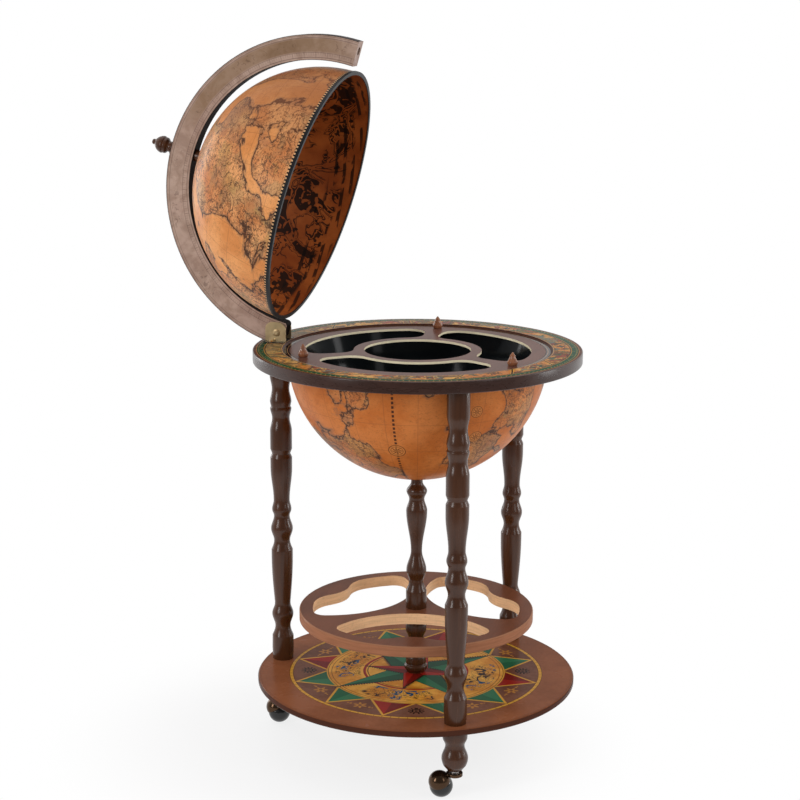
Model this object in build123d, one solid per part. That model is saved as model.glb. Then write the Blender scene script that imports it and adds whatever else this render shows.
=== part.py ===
from build123d import *
from math import asin, atan2, cos, degrees, hypot, pi, radians, sin, sqrt, tan
import os

# A floor-standing globe bar on three casters. Millimetres, +Z up, origin on the floor under the
# centre column. The lid hinge is on the -X side, over one leg. The lid stands open.

# ---------------------------------------------------------------- stand heights, from the floor up
CASTER_HEIGHT = 44.0         # floor to the underside of a foot
FOOT_HEIGHT = 64.0
BASE_THICKNESS = 10.0
LEG_LENGTH = 505.0
RING_THICKNESS = 18.0
SHELF_LEG_LENGTH = 89.5      # lower column, base top to shelf underside
SHELF_THICKNESS = 17.2

# ---------------------------------------------------------------- stand plan
GLOBE_RADIUS = 200.0         # outside of the lower half
LEG_CLEARANCE = 22.0         # globe to the axis of a leg
BASE_MARGIN = 28.0           # base board beyond the axes of the legs
BASE_EDGE_ROUND = 2.0
RING_MARGIN = 30.0           # ring beyond the axes of the legs
RING_EDGE_ROUND = 1.5
RING_INNER_CHAMFER = 2.5
SHELF_LEG_GAP = 20.6         # shelf to the legs
SHELF_EDGE_ROUND = 1.5
LEG_RADIUS = 17.4
COLUMN_RADIUS = 16.9
LOWER_COLUMN_RADIUS = 18.3
FOOT_RADIUS = 19.9
FIRST_LEG_ANGLE = 180.0      # the leg under the hinge
LEG_COUNT = 3
CURVE_CUTS = 3               # straight cuts that stand for one curve of a turned spindle

# ---------------------------------------------------------------- globe
GLOBE_DROP = 2.2             # centre of the lower half below the ring's top
LOWER_WALL = 2.0
GLOBE_BANDS = 12             # straight bands that stand for a quarter round
RING_BORE_GAP = 0.6          # round the lower half, in the ring
REBATE_DEPTH = 6.0
REBATE_WIDTH = 3.4
REBATE_GAP = 0.6
FLANGE_THICKNESS = 2.0

LINER_WALL = 1.0
LINER_FLANGE = 1.5
LINER_DEPTH = 105.0          # ring top to the liner's floor
LINER_FLOOR_INSET = 50.0     # bowl's wall at its floor, inside the globe's radius
LINER_CORNER = 18.0
LINER_LEDGE = 18.5           # width of the ledge that the tray rests on

# ---------------------------------------------------------------- glass and bottle tray
TRAY_EDGE_ROOM = 2.0         # tray to the inside of the lower half
TRAY_THICKNESS = 3.5
TRAY_DROP = 2.5              # tray top below the ring's top
TRAY_GAP = 0.4
BOTTLE_HOLE_RADIUS = 82.0
TRAY_HUB_RIM = 16.0          # board between the bottle hole and a slot
TRAY_OUTER_RIM = 22.0        # board outside a slot
TRAY_SLOT_SWEEP = 54.4       # half angle of one slot, degrees
TRAY_SLOT_CORNER = 28.0
TRAY_SLOT_ANGLE = 274.5      # middle of the first slot
KNOB_RADIUS = 7.9
KNOB_HEIGHT = 19.5
KNOB_INSET = 13.5            # from the tray's edge
TRAY_SCREW_RADIUS = 1.75
TRAY_SCREW_HEAD = 3.5
TRAY_SCREW_LENGTH = 16.0

# ---------------------------------------------------------------- bottle shelf
SHELF_SLOT_ANGLE = 282.0     # middle of the first kidney slot
SHELF_RIM = 21.0             # board outside a slot
SLOT_HUB = 33.5              # column's axis to the nearest point of a slot
SLOT_HUB_SHIFT = 5.0         # centre of the hub-side arc beyond the slot's outer wall
SLOT_TIP_ROUND = 20.0
SLOT_NOSE_DEPTH = 23.3       # the outer wall swells inward this far, between a slot's two lobes
SLOT_NOSE_ROUND = 60.0
SLOT_ROOT_ROUND = 50.0       # where the swelling runs out into the wall

# ---------------------------------------------------------------- meridian and lid
MERIDIAN_ROOM = 4.0          # globe's radius to the meridian's inside
MERIDIAN_WIDTH = 38.0
MERIDIAN_THICKNESS = 23.0
MERIDIAN_TAIL = 4.9          # straight length past the half ring, at the free end
LID_OPEN_ANGLE = 74.2
PIVOT_HEIGHT = 14.2          # above the ring's top
ARC_CENTRE_HEIGHT = 11.8     # above the ring's top, lid shut
HINGE_END_RADIUS = 12.6      # pivot to the stop faces of the meridian's end
HINGE_TOE_ROUND = 6.0        # inner corner of that end
END_PLUG_RADIUS = 6.0
END_PLUG_LENGTH = 12.0
END_PLUG_RECESS = 5.0
END_PLUG_OFFSET = 4.0        # plug centre outside the middle of the meridian's width

UPPER_INSET = 4.5            # the upper half is this much smaller than the lower
UPPER_WALL = 3.4
RIM_DROP = 7.0               # rim plane below the meridian's arc centre, lid shut
TRIM_FOOT = 1.5
TRIM_HEIGHT = 3.6
TRIM_PROUD = 1.2

SPACER_RADIUS = 9.0
POLE_SCREW_RADIUS = 3.0
POLE_SCREW_HEAD = 8.0
POLE_SCREW_HEAD_HEIGHT = 3.0
POLE_SCREW_GRIP = 18.0       # how far the screw runs into the finial
FINIAL_LENGTH = 36.0
FINIAL_RADIUS = 13.5

# ---------------------------------------------------------------- hinge bracket
BRACKET_PLATE = 1.2
BRACKET_SETBACK = 4.0        # plate behind the ring's rebate
BRACKET_LENGTH = 33.0
BRACKET_HALF_WIDTH = 25.0
CHEEK_THICKNESS = 2.5
CHEEK_GAP = 0.5              # between the meridian and a cheek
CHEEK_HEIGHT = 30.8          # above the ring's top
CHEEK_OUTER_ROUND = 11.0
CHEEK_INNER_ROUND = 13.0
PIN_RADIUS = 2.5
PIN_HEAD_RADIUS = 5.5
PIN_HEAD_HEIGHT = 2.5
PIN_NUT_RADIUS = 5.0
PIN_NUT_HEIGHT = 5.0
BUSH_WALL = 1.5
BRACKET_SCREW_RADIUS = 2.0
BRACKET_SCREW_HEAD = 4.0
BRACKET_SCREW_LENGTH = 12.0
BRACKET_SCREW_INSET = 6.0    # from the plate's side edge
BRACKET_SCREW_SETBACK = 12.0 # from the plate's outer edge

# ---------------------------------------------------------------- fasteners of the stand
TIE_ROD_RADIUS = 3.0
TIE_NUT_RADIUS = 5.5
TIE_NUT_HEIGHT = 5.0
TIE_WASHER_RADIUS = 12.0
TIE_WASHER_THICKNESS = 1.5
DOWEL_RADIUS = 5.0
DOWEL_IN_RING = 11.0
DOWEL_IN_LEG = 22.0
STUD_RADIUS = 4.0
STUD_IN_LEG = 30.0
STUD_IN_FOOT = 24.0
FIT_GAP = 0.05               # radial, between a shaft and its hole
END_GAP = 0.5                # left past the end of a pin in a blind hole

# ---------------------------------------------------------------- casters
BALL_RADIUS = 17.6
BALL_FLAT_ANGLE = 20.0       # the ball is cut flat this far from each end of its axle
CASTER_TRAIL = 20.0          # stem axis to ball centre
AXLE_TILT = 60.0             # axle above the horizontal
AXLE_LEAD = 65.0             # axle direction past the trail direction, in plan
AXLE_RADIUS = 2.5
AXLE_HEAD_RADIUS = 4.0
AXLE_HEAD_HEIGHT = 1.5
HOOD_RADIUS = 16.6
HOOD_WALL = 1.2
HOOD_OFFSET = 9.5            # hood centre from ball centre, along the axle
HOOD_CUTS = 4
BALL_SIDE_GAP = 0.4
STEM_BOSS_RADIUS = 12.2
STEM_BOSS_HEIGHT = 5.0
STEM_COLLAR_RADIUS = 6.5
STEM_COLLAR_HEIGHT = 3.3
STEM_RADIUS = 4.0
STEM_IN_SOCKET = 30.0
ARM_WIDTH = 12.0             # arm from the stem's boss to the dome
ARM_HEIGHT = 4.0
SOCKET_WALL = 1.5
SOCKET_FLANGE_RADIUS = 9.0
SOCKET_FLANGE = 1.2
CASTER_TRAIL_ANGLES = (130.0, 188.0, 150.0)

# ---------------------------------------------------------------- derived levels and places
BASE_BOTTOM = CASTER_HEIGHT + FOOT_HEIGHT
BASE_TOP = BASE_BOTTOM + BASE_THICKNESS
RING_BOTTOM = BASE_TOP + LEG_LENGTH
RING_TOP = RING_BOTTOM + RING_THICKNESS
SHELF_BOTTOM = BASE_TOP + SHELF_LEG_LENGTH
SHELF_TOP = SHELF_BOTTOM + SHELF_THICKNESS
LEG_CIRCLE = GLOBE_RADIUS + LEG_CLEARANCE
BASE_RADIUS = LEG_CIRCLE + BASE_MARGIN
RING_RADIUS = LEG_CIRCLE + RING_MARGIN
SHELF_RADIUS = LEG_CIRCLE - LEG_RADIUS - SHELF_LEG_GAP
SLOT_OUTER_RADIUS = SHELF_RADIUS - SHELF_RIM
SLOT_HUB_CENTRE = SLOT_OUTER_RADIUS + SLOT_HUB_SHIFT
SLOT_NOSE_CENTRE = SLOT_OUTER_RADIUS - SLOT_NOSE_DEPTH + SLOT_NOSE_ROUND
GLOBE_CENTRE = RING_TOP - GLOBE_DROP
GLOBE_BOTTOM = GLOBE_CENTRE - GLOBE_RADIUS
LEG_ANGLES = [FIRST_LEG_ANGLE + step * 360 / LEG_COUNT for step in range(LEG_COUNT)]

FLANGE_BOTTOM = RING_TOP - REBATE_DEPTH
FLANGE_TOP = FLANGE_BOTTOM + FLANGE_THICKNESS
LINER_TOP = FLANGE_TOP + LINER_FLANGE
RING_BORE = GLOBE_RADIUS + RING_BORE_GAP
REBATE_RADIUS = RING_BORE + REBATE_WIDTH
FLANGE_RADIUS = REBATE_RADIUS - REBATE_GAP
TRAY_RADIUS = GLOBE_RADIUS - LOWER_WALL - TRAY_EDGE_ROOM
TRAY_SLOT_INNER = BOTTLE_HOLE_RADIUS + TRAY_HUB_RIM
TRAY_SLOT_OUTER = TRAY_RADIUS - TRAY_OUTER_RIM
KNOB_CIRCLE = TRAY_RADIUS - KNOB_INSET
LINER_FLOOR_RADIUS = GLOBE_RADIUS - LINER_FLOOR_INSET
TRAY_TOP = RING_TOP - TRAY_DROP
TRAY_BOTTOM = TRAY_TOP - TRAY_THICKNESS

UPPER_RADIUS = GLOBE_RADIUS - UPPER_INSET
MERIDIAN_INNER = GLOBE_RADIUS + MERIDIAN_ROOM
MERIDIAN_OUTER = MERIDIAN_INNER + MERIDIAN_WIDTH
PIVOT_X = -(MERIDIAN_INNER + MERIDIAN_WIDTH / 2)
PIVOT_Z = RING_TOP + PIVOT_HEIGHT
ARC_CENTRE = RING_TOP + ARC_CENTRE_HEIGHT
RIM_PLANE = ARC_CENTRE - RIM_DROP
BRACKET_INNER_EDGE = REBATE_RADIUS + BRACKET_SETBACK
BRACKET_OUTER_EDGE = BRACKET_INNER_EDGE + BRACKET_LENGTH
CHEEK_INNER_FACE = MERIDIAN_THICKNESS / 2 + CHEEK_GAP
CHEEK_OUTER_FACE = CHEEK_INNER_FACE + CHEEK_THICKNESS
HINGE_AXIS = Axis((PIVOT_X, 0, PIVOT_Z), (0, 1, 0))


# ---------------------------------------------------------------- shared operations
def turned(*points):
    """A solid turned about Z from a closed outline of (radius, height) points."""
    return revolve(Plane.XZ * make_face(Polyline(*points, close=True)), Axis.Z)


def rod(radius, low, high):
    """A round bar on the Z axis between two heights."""
    return Pos(0, 0, low) * Cylinder(radius, high - low, align=(Align.CENTER, Align.CENTER, Align.MIN))


def round_points(radius, start, end, cuts, centre=0.0):
    """Points (radius, height) on a round about the axis, between two angles above the horizontal."""
    steps = [radians(start + (end - start) * step / cuts) for step in range(cuts + 1)]
    return [(radius * cos(angle), centre + radius * sin(angle)) for angle in steps]


def pole_rise(radius):
    """How far a round's last band has risen from its pole at a radius, so a washer there clears it."""
    return radius * tan(radians(90 / GLOBE_BANDS / 2))


def arc_dip(radius, width):
    """How far an arc has fallen from its crown at half a width to one side."""
    return radius - sqrt(radius**2 - width**2)


def spindle_points(pattern, length, radius, top):
    """Points (radius, height) down a turned spindle, its pattern stretched to a length and a radius."""
    stretch = length / pattern[-1][0]
    swell = radius / max(station[1] for station in pattern)
    points = [(pattern[0][1] * swell, top)]
    for (start, from_radius, _), (end, to_radius, form) in zip(pattern, pattern[1:]):
        cuts = 1 if form == "straight" else CURVE_CUTS
        for cut in range(1, cuts + 1):
            share = cut / cuts
            blend = {"straight": share, "ogee": (1 - cos(pi * share)) / 2, "swell": 1 - cos(pi * share / 2)}[form]
            place = start + (end - start) * share
            points.append(((from_radius + (to_radius - from_radius) * blend) * swell, top - place * stretch))
    return points


def spindle(pattern, length, radius, top):
    """A turned spindle on the Z axis, hanging down from its top."""
    return turned((0, top), *spindle_points(pattern, length, radius, top), (0, top - length))


def around(angle, radius=0.0):
    """The place at an angle about the column, with X pointing outwards."""
    return Rot(0, 0, angle) * Pos(radius, 0, 0)


def on_legs(shape):
    """One copy of a shape on each leg's axis."""
    return [around(angle, LEG_CIRCLE) * shape for angle in LEG_ANGLES]


def save(name, *shapes):
    """Writes one node; several shapes in it stay separate solids."""
    whole = shapes[0] if len(shapes) == 1 else Compound(children=list(shapes))
    export_step(whole, f"parts/{name}.step")


# ---------------------------------------------------------------- turned patterns
# Each station is (distance from the top, radius, form of the stretch that ends there).
LEG_PATTERN = [
    (0, 16.9, ""), (37, 16.9, "straight"), (59, 13.7, "ogee"), (80, 16.9, "ogee"),
    (87.5, 15.2, "straight"), (90, 16.8, "straight"), (106, 13.8, "ogee"), (127, 17.2, "ogee"),
    (156, 17.2, "straight"), (163.5, 14.4, "straight"), (170, 17.2, "straight"),
    (186, 17.2, "straight"), (240, 12.7, "ogee"), (255, 15.4, "ogee"), (266, 12.5, "ogee"),
    (287, 17.4, "ogee"), (306.5, 12.7, "ogee"), (321.5, 17.0, "swell"), (332, 17.0, "straight"),
    (409, 12.6, "swell"), (412, 12.6, "straight"), (429, 17.1, "ogee"), (449.5, 12.2, "ogee"),
    (465.5, 16.9, "swell"), (487, 17.3, "straight"), (505, 16.2, "straight"),
]
UPPER_COLUMN_PATTERN = [
    (0, 8.5, ""), (10, 9.2, "straight"), (24, 16.1, "ogee"), (37, 11.9, "ogee"), (56, 16.5, "ogee"),
    (121.5, 8.7, "ogee"), (153, 15.8, "ogee"), (170.5, 11.3, "ogee"), (186, 16.2, "swell"),
    (214.1, 16.2, "straight"),
]
LOWER_COLUMN_PATTERN = [
    (0, 14.0, ""), (12, 16.4, "ogee"), (19, 16.4, "straight"), (32, 12.3, "ogee"), (46, 15.8, "ogee"),
    (57, 12.9, "ogee"), (67, 15.8, "ogee"), (73.5, 16.2, "straight"), (75, 15.6, "straight"),
    (79, 18.3, "ogee"), (82, 18.3, "straight"), (89.5, 14.0, "ogee"),
]
FOOT_PATTERN = [
    (0, 18.6, ""), (12, 18.6, "straight"), (25, 14.4, "ogee"), (45, 19.9, "ogee"),
    (56, 17.4, "swell"), (64, 11.1, "straight"),
]
FINIAL_PATTERN = [
    (0, 2.6, ""), (1.4, 4.5, "straight"), (5, 4.5, "straight"), (7, 5.4, "straight"),
    (17, 13.5, "swell"), (20, 13.5, "straight"), (22, 12.0, "straight"), (25, 13.2, "ogee"),
    (30, 8.6, "ogee"), (34, 10.4, "straight"), (36, 11.8, "straight"),
]
KNOB_PATTERN = [
    (0, 0.8, ""), (5, 4.2, "straight"), (14, 7.9, "swell"), (17, 7.6, "straight"), (19.5, 6.2, "straight"),
]


# ---------------------------------------------------------------- stand
def base_disc():
    """Round base board, drilled for the tie rod and for one stud in each leg."""
    edge = BASE_EDGE_ROUND
    board = turned(
        (0, BASE_BOTTOM), (BASE_RADIUS - edge, BASE_BOTTOM), (BASE_RADIUS, BASE_BOTTOM + edge),
        (BASE_RADIUS, BASE_TOP - edge), (BASE_RADIUS - edge, BASE_TOP), (0, BASE_TOP),
    )
    board -= rod(TIE_ROD_RADIUS + FIT_GAP, BASE_BOTTOM, BASE_TOP)
    for hole in on_legs(rod(STUD_RADIUS + FIT_GAP, BASE_BOTTOM, BASE_TOP)):
        board -= hole
    return board


def leg():
    """One turned leg on the Z axis, bored for its dowel above and its stud below."""
    turning = spindle(LEG_PATTERN, LEG_LENGTH, LEG_RADIUS, RING_BOTTOM)
    turning -= rod(DOWEL_RADIUS + FIT_GAP, RING_BOTTOM - DOWEL_IN_LEG - END_GAP, RING_BOTTOM)
    return turning - rod(STUD_RADIUS + FIT_GAP, BASE_TOP, BASE_TOP + STUD_IN_LEG + END_GAP)


def foot():
    """One bun foot on the Z axis, bored for its stud above and its caster socket below."""
    turning = spindle(FOOT_PATTERN, FOOT_HEIGHT, FOOT_RADIUS, BASE_BOTTOM)
    turning -= rod(STUD_RADIUS + FIT_GAP, BASE_BOTTOM - STUD_IN_FOOT - END_GAP, BASE_BOTTOM)
    sleeve_top = CASTER_HEIGHT + STEM_IN_SOCKET + END_GAP
    return turning - rod(STEM_RADIUS + FIT_GAP + SOCKET_WALL, CASTER_HEIGHT, sleeve_top)


def horizon_ring():
    """Flat ring on the legs, rebated inside for the flanges of the globe and the liner."""
    edge = RING_EDGE_ROUND
    ring = turned(
        (RING_BORE, RING_BOTTOM), (RING_RADIUS - edge, RING_BOTTOM), (RING_RADIUS, RING_BOTTOM + edge),
        (RING_RADIUS, RING_TOP - edge), (RING_RADIUS - edge, RING_TOP),
        (REBATE_RADIUS + RING_INNER_CHAMFER, RING_TOP), (REBATE_RADIUS, RING_TOP - RING_INNER_CHAMFER),
        (REBATE_RADIUS, FLANGE_BOTTOM), (RING_BORE, FLANGE_BOTTOM),
    )
    for hole in on_legs(rod(DOWEL_RADIUS + FIT_GAP, RING_BOTTOM, RING_BOTTOM + DOWEL_IN_RING + END_GAP)):
        ring -= hole
    for hole in bracket_screw_places(rod(BRACKET_SCREW_RADIUS + FIT_GAP, screw_tip() - END_GAP, RING_TOP)):
        ring -= hole
    return ring


def column(pattern, length, radius, top):
    """A turned length of the centre column, bored for the tie rod."""
    return spindle(pattern, length, radius, top) - rod(TIE_ROD_RADIUS + FIT_GAP, top - length, top)


def shelf_slot():
    """One two-lobed kidney slot of the shelf, drawn with its middle on the X axis."""
    slot = Pos(SLOT_HUB_CENTRE, 0) * Circle(SLOT_HUB_CENTRE - SLOT_HUB) & Circle(SLOT_OUTER_RADIUS)
    slot = fillet(slot.vertices(), SLOT_TIP_ROUND)
    slot -= Pos(SLOT_NOSE_CENTRE, 0) * Circle(SLOT_NOSE_ROUND)
    roots = slot.vertices().sort_by(lambda corner: abs(corner.Y))[:2]
    return fillet(roots, SLOT_ROOT_ROUND)


def bottle_shelf():
    """Round shelf on the column, with three kidney slots that hold the bottles."""
    edge = SHELF_EDGE_ROUND
    board = turned(
        (0, SHELF_BOTTOM), (SHELF_RADIUS - edge, SHELF_BOTTOM), (SHELF_RADIUS, SHELF_BOTTOM + edge),
        (SHELF_RADIUS, SHELF_TOP - edge), (SHELF_RADIUS - edge, SHELF_TOP), (0, SHELF_TOP),
    )
    cutter = Pos(0, 0, SHELF_BOTTOM) * extrude(shelf_slot(), SHELF_THICKNESS)
    for step in range(LEG_COUNT):
        board -= around(SHELF_SLOT_ANGLE + step * 360 / LEG_COUNT) * cutter
    return board - rod(TIE_ROD_RADIUS + FIT_GAP, SHELF_BOTTOM, SHELF_TOP)


def lower_shell():
    """Lower half of the globe, hung by its flange in the ring's rebate."""
    inner = GLOBE_RADIUS - LOWER_WALL
    start = degrees(asin((GLOBE_CENTRE - FLANGE_BOTTOM) / GLOBE_RADIUS))
    shell = turned(
        *round_points(GLOBE_RADIUS, -start, -90, GLOBE_BANDS, GLOBE_CENTRE),
        *reversed(round_points(inner, -start, -90, GLOBE_BANDS, GLOBE_CENTRE)),
        (inner * cos(radians(start)), FLANGE_TOP), (FLANGE_RADIUS, FLANGE_TOP), (FLANGE_RADIUS, FLANGE_BOTTOM),
    )
    return shell - rod(TIE_ROD_RADIUS + FIT_GAP, GLOBE_BOTTOM, GLOBE_BOTTOM + 2 * LOWER_WALL)


def liner_points(outset, floor):
    """Points down one face of the liner's bowl, from under the ledge to its floor."""
    mouth = TRAY_RADIUS + TRAY_GAP - LINER_LEDGE + outset
    wide = LINER_FLOOR_RADIUS + outset
    return [(mouth, TRAY_BOTTOM - outset), (wide, floor + LINER_CORNER), (wide - LINER_CORNER, floor), (0, floor)]


def liner():
    """Moulded bowl inside the lower half; its flange lies on the shell's, its ledge holds the tray."""
    recess = TRAY_RADIUS + TRAY_GAP
    floor = RING_TOP - LINER_DEPTH
    return turned(
        (recess, LINER_TOP), (FLANGE_RADIUS, LINER_TOP), (FLANGE_RADIUS, FLANGE_TOP),
        (recess + LINER_WALL, FLANGE_TOP), (recess + LINER_WALL, TRAY_BOTTOM - LINER_WALL),
        *liner_points(LINER_WALL, floor - LINER_WALL),
        *reversed(liner_points(0, floor)), (recess, TRAY_BOTTOM),
    )


def tie_rod():
    """Rod through base, column, shelf and globe."""
    low = BASE_BOTTOM - TIE_NUT_HEIGHT
    return rod(TIE_ROD_RADIUS, low, inside_nut_bottom() + TIE_NUT_HEIGHT + END_GAP)


def inside_nut_bottom():
    """Level of the nut that clamps the globe to the column, on top of its washer."""
    return GLOBE_BOTTOM + LOWER_WALL + pole_rise(TIE_WASHER_RADIUS) + TIE_WASHER_THICKNESS


def tie_rod_nuts():
    """Nut and washer inside the globe, and the nut under the base."""
    low = inside_nut_bottom()
    bore = TIE_ROD_RADIUS + FIT_GAP
    top_nut = Pos(0, 0, low) * hex_nut(TIE_NUT_RADIUS, TIE_NUT_HEIGHT, bore)
    washer = rod(TIE_WASHER_RADIUS, low - TIE_WASHER_THICKNESS, low) - rod(bore, low - TIE_WASHER_THICKNESS, low)
    base_nut = Pos(0, 0, BASE_BOTTOM - TIE_NUT_HEIGHT) * hex_nut(TIE_NUT_RADIUS, TIE_NUT_HEIGHT, bore)
    return [top_nut, washer, base_nut]


def hex_nut(radius, height, bore):
    """A hexagonal nut standing on the XY plane."""
    return extrude(RegularPolygon(radius, 6) - Circle(bore), height)


# ---------------------------------------------------------------- tray
def tray_slot():
    """One glass slot of the tray, with its middle on the X axis."""
    reach = 2 * TRAY_SLOT_OUTER
    sweep = radians(TRAY_SLOT_SWEEP)
    wedge = make_face(Polyline(
        (0, 0), (reach * cos(sweep), -reach * sin(sweep)), (reach * cos(sweep), reach * sin(sweep)), close=True,
    ))
    slot = (Circle(TRAY_SLOT_OUTER) - Circle(TRAY_SLOT_INNER)) & wedge
    return fillet(slot.vertices(), min(TRAY_SLOT_CORNER, (TRAY_SLOT_OUTER - TRAY_SLOT_INNER) * 0.45))


def knob_angle(step):
    """A knob stands on each spoke, half way between two slots."""
    return TRAY_SLOT_ANGLE + (step + 0.5) * 360 / LEG_COUNT


def tray_plate():
    """Lift-out tray: a bottle hole in the middle and three slots for glasses."""
    board = rod(TRAY_RADIUS, TRAY_BOTTOM, TRAY_TOP) - rod(BOTTLE_HOLE_RADIUS, TRAY_BOTTOM, TRAY_TOP)
    cutter = Pos(0, 0, TRAY_BOTTOM) * extrude(tray_slot(), TRAY_THICKNESS)
    for step in range(LEG_COUNT):
        board -= around(TRAY_SLOT_ANGLE + step * 360 / LEG_COUNT) * cutter
        board -= around(knob_angle(step), KNOB_CIRCLE) * tray_screw(FIT_GAP)
    return board


def tray_screw(extra=0.0):
    """Countersunk screw up through the tray into a knob; with extra, the hole it leaves."""
    sink = TRAY_SCREW_HEAD - TRAY_SCREW_RADIUS
    tip = TRAY_BOTTOM + TRAY_SCREW_LENGTH + (END_GAP if extra else 0)
    return turned(
        (0, TRAY_BOTTOM), (TRAY_SCREW_HEAD + extra, TRAY_BOTTOM),
        (TRAY_SCREW_RADIUS + extra, TRAY_BOTTOM + sink), (TRAY_SCREW_RADIUS + extra, tip), (0, tip),
    )


def tray_knob():
    """Pointed turned knob on the Z axis, standing on the tray."""
    return spindle(KNOB_PATTERN, KNOB_HEIGHT, KNOB_RADIUS, TRAY_TOP + KNOB_HEIGHT) - tray_screw(FIT_GAP)


# ---------------------------------------------------------------- hinge bracket
def screw_tip():
    """Lower end of the bracket screws."""
    return RING_TOP + BRACKET_PLATE - BRACKET_SCREW_LENGTH


def bracket_screw_places(shape):
    """One copy of a shape at each bracket screw."""
    side = BRACKET_HALF_WIDTH - BRACKET_SCREW_INSET
    return [Pos(BRACKET_SCREW_SETBACK - BRACKET_OUTER_EDGE, way * side, 0) * shape for way in (-1, 1)]


def bracket_plate():
    """Foot plate of the hinge, screwed to the ring; the meridian's end stops against it."""
    plate = Pos(-BRACKET_OUTER_EDGE, 0, RING_TOP) * Box(
        BRACKET_LENGTH, 2 * BRACKET_HALF_WIDTH, BRACKET_PLATE, align=(Align.MIN, Align.CENTER, Align.MIN)
    )
    for hole in bracket_screw_places(rod(BRACKET_SCREW_RADIUS + FIT_GAP, RING_TOP, RING_TOP + BRACKET_PLATE)):
        plate -= hole
    return plate


def bracket_cheek(way):
    """One upright cheek on the foot plate, with two rounded top corners and the pin's hole."""
    height = CHEEK_HEIGHT - BRACKET_PLATE
    face = Rectangle(BRACKET_LENGTH, height, align=(Align.MIN, Align.MIN))
    top = face.vertices().group_by(Axis.Y)[-1].sort_by(Axis.X)
    face = fillet(top[0], CHEEK_OUTER_ROUND)
    top = face.vertices().sort_by(Axis.X)[-2:].sort_by(Axis.Y)[-1]
    face = fillet(top, CHEEK_INNER_ROUND)
    face -= Pos(PIVOT_X + BRACKET_OUTER_EDGE, PIVOT_HEIGHT - BRACKET_PLATE) * Circle(PIN_RADIUS + FIT_GAP)
    cheek = extrude(Plane.XZ * face, CHEEK_THICKNESS / 2, both=True)
    middle = way * (CHEEK_INNER_FACE + CHEEK_THICKNESS / 2)
    return Pos(-BRACKET_OUTER_EDGE, middle, RING_TOP + BRACKET_PLATE) * cheek


def along_pivot(shape):
    """Turns a shape on the Z axis to lie on the hinge axis, +Z towards -Y."""
    return Pos(PIVOT_X, 0, PIVOT_Z) * Rot(90, 0, 0) * shape


def hinge_pin():
    """Domed pin through both cheeks and the meridian's bush."""
    low = -CHEEK_OUTER_FACE - PIN_NUT_HEIGHT
    head = CHEEK_OUTER_FACE
    return along_pivot(turned(
        (0, low), (PIN_RADIUS, low), (PIN_RADIUS, head), (PIN_HEAD_RADIUS, head),
        (PIN_HEAD_RADIUS, head + PIN_HEAD_HEIGHT / 2), (PIN_HEAD_RADIUS / 2, head + PIN_HEAD_HEIGHT),
        (0, head + PIN_HEAD_HEIGHT),
    ))


def pin_nut():
    """Nut on the far end of the hinge pin."""
    nut = hex_nut(PIN_NUT_RADIUS, PIN_NUT_HEIGHT, PIN_RADIUS + FIT_GAP)
    return along_pivot(Pos(0, 0, -CHEEK_OUTER_FACE - PIN_NUT_HEIGHT) * nut)


def bracket_screw():
    """Round-headed wood screw through the foot plate into the ring."""
    seat = RING_TOP + BRACKET_PLATE
    head = BRACKET_SCREW_HEAD / 2
    return turned(
        (0, screw_tip()), (BRACKET_SCREW_RADIUS, screw_tip()), (BRACKET_SCREW_RADIUS, seat),
        (BRACKET_SCREW_HEAD, seat), (head, seat + head), (0, seat + head),
    )


# ---------------------------------------------------------------- lid, drawn shut
def end_corners(bar, level):
    """Outermost and innermost corner of the meridian's hinge end at one level."""
    corners = [corner for corner in bar.vertices() if abs(corner.Y - level) < END_GAP]
    corners = sorted(corners, key=lambda corner: corner.X)
    return corners[0], corners[-1]


def meridian():
    """Half ring over the globe; its hinge end has two stop faces and a round between them."""
    arc = Circle(MERIDIAN_OUTER) - Circle(MERIDIAN_INNER)
    arc &= Rectangle(2 * MERIDIAN_OUTER, MERIDIAN_OUTER, align=(Align.CENTER, Align.MIN))
    pivot = Pos(PIVOT_X, PIVOT_HEIGHT - ARC_CENTRE_HEIGHT)
    end_level = PIVOT_HEIGHT - ARC_CENTRE_HEIGHT - HINGE_END_RADIUS
    block = Pos(-MERIDIAN_OUTER, end_level) * Rectangle(MERIDIAN_WIDTH, -end_level, align=(Align.MIN, Align.MIN))
    open_face = pivot * Rot(0, 0, 180 + 90 - LID_OPEN_ANGLE) * Pos(HINGE_END_RADIUS, 0)
    beyond = open_face * Rectangle(MERIDIAN_WIDTH, 4 * MERIDIAN_WIDTH, align=(Align.MIN, Align.CENTER))
    tail = Pos(MERIDIAN_INNER, -MERIDIAN_TAIL) * Rectangle(MERIDIAN_WIDTH, MERIDIAN_TAIL, align=(Align.MIN, Align.MIN))
    bar = (arc + block + tail) - beyond
    heel, toe = end_corners(bar, end_level)
    bar = fillet(heel, HINGE_END_RADIUS)
    heel, toe = end_corners(bar, end_level)
    bar = fillet(toe, HINGE_TOE_ROUND)
    bar -= pivot * Circle(PIN_RADIUS + FIT_GAP + BUSH_WALL)
    bar = extrude(Plane.XZ * bar, MERIDIAN_THICKNESS / 2, both=True)
    bar = Pos(0, 0, ARC_CENTRE) * bar
    end = ARC_CENTRE - MERIDIAN_TAIL
    bar -= Pos(end_plug_place(), 0, 0) * rod(END_PLUG_RADIUS, end, end + END_PLUG_RECESS + END_PLUG_LENGTH)
    return bar - rod(POLE_SCREW_RADIUS + FIT_GAP, ARC_CENTRE + MERIDIAN_INNER - END_GAP, ARC_CENTRE + MERIDIAN_OUTER)


def end_plug_place():
    """Distance of the end plug from the column's axis."""
    return MERIDIAN_INNER + MERIDIAN_WIDTH / 2 + END_PLUG_OFFSET


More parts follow.
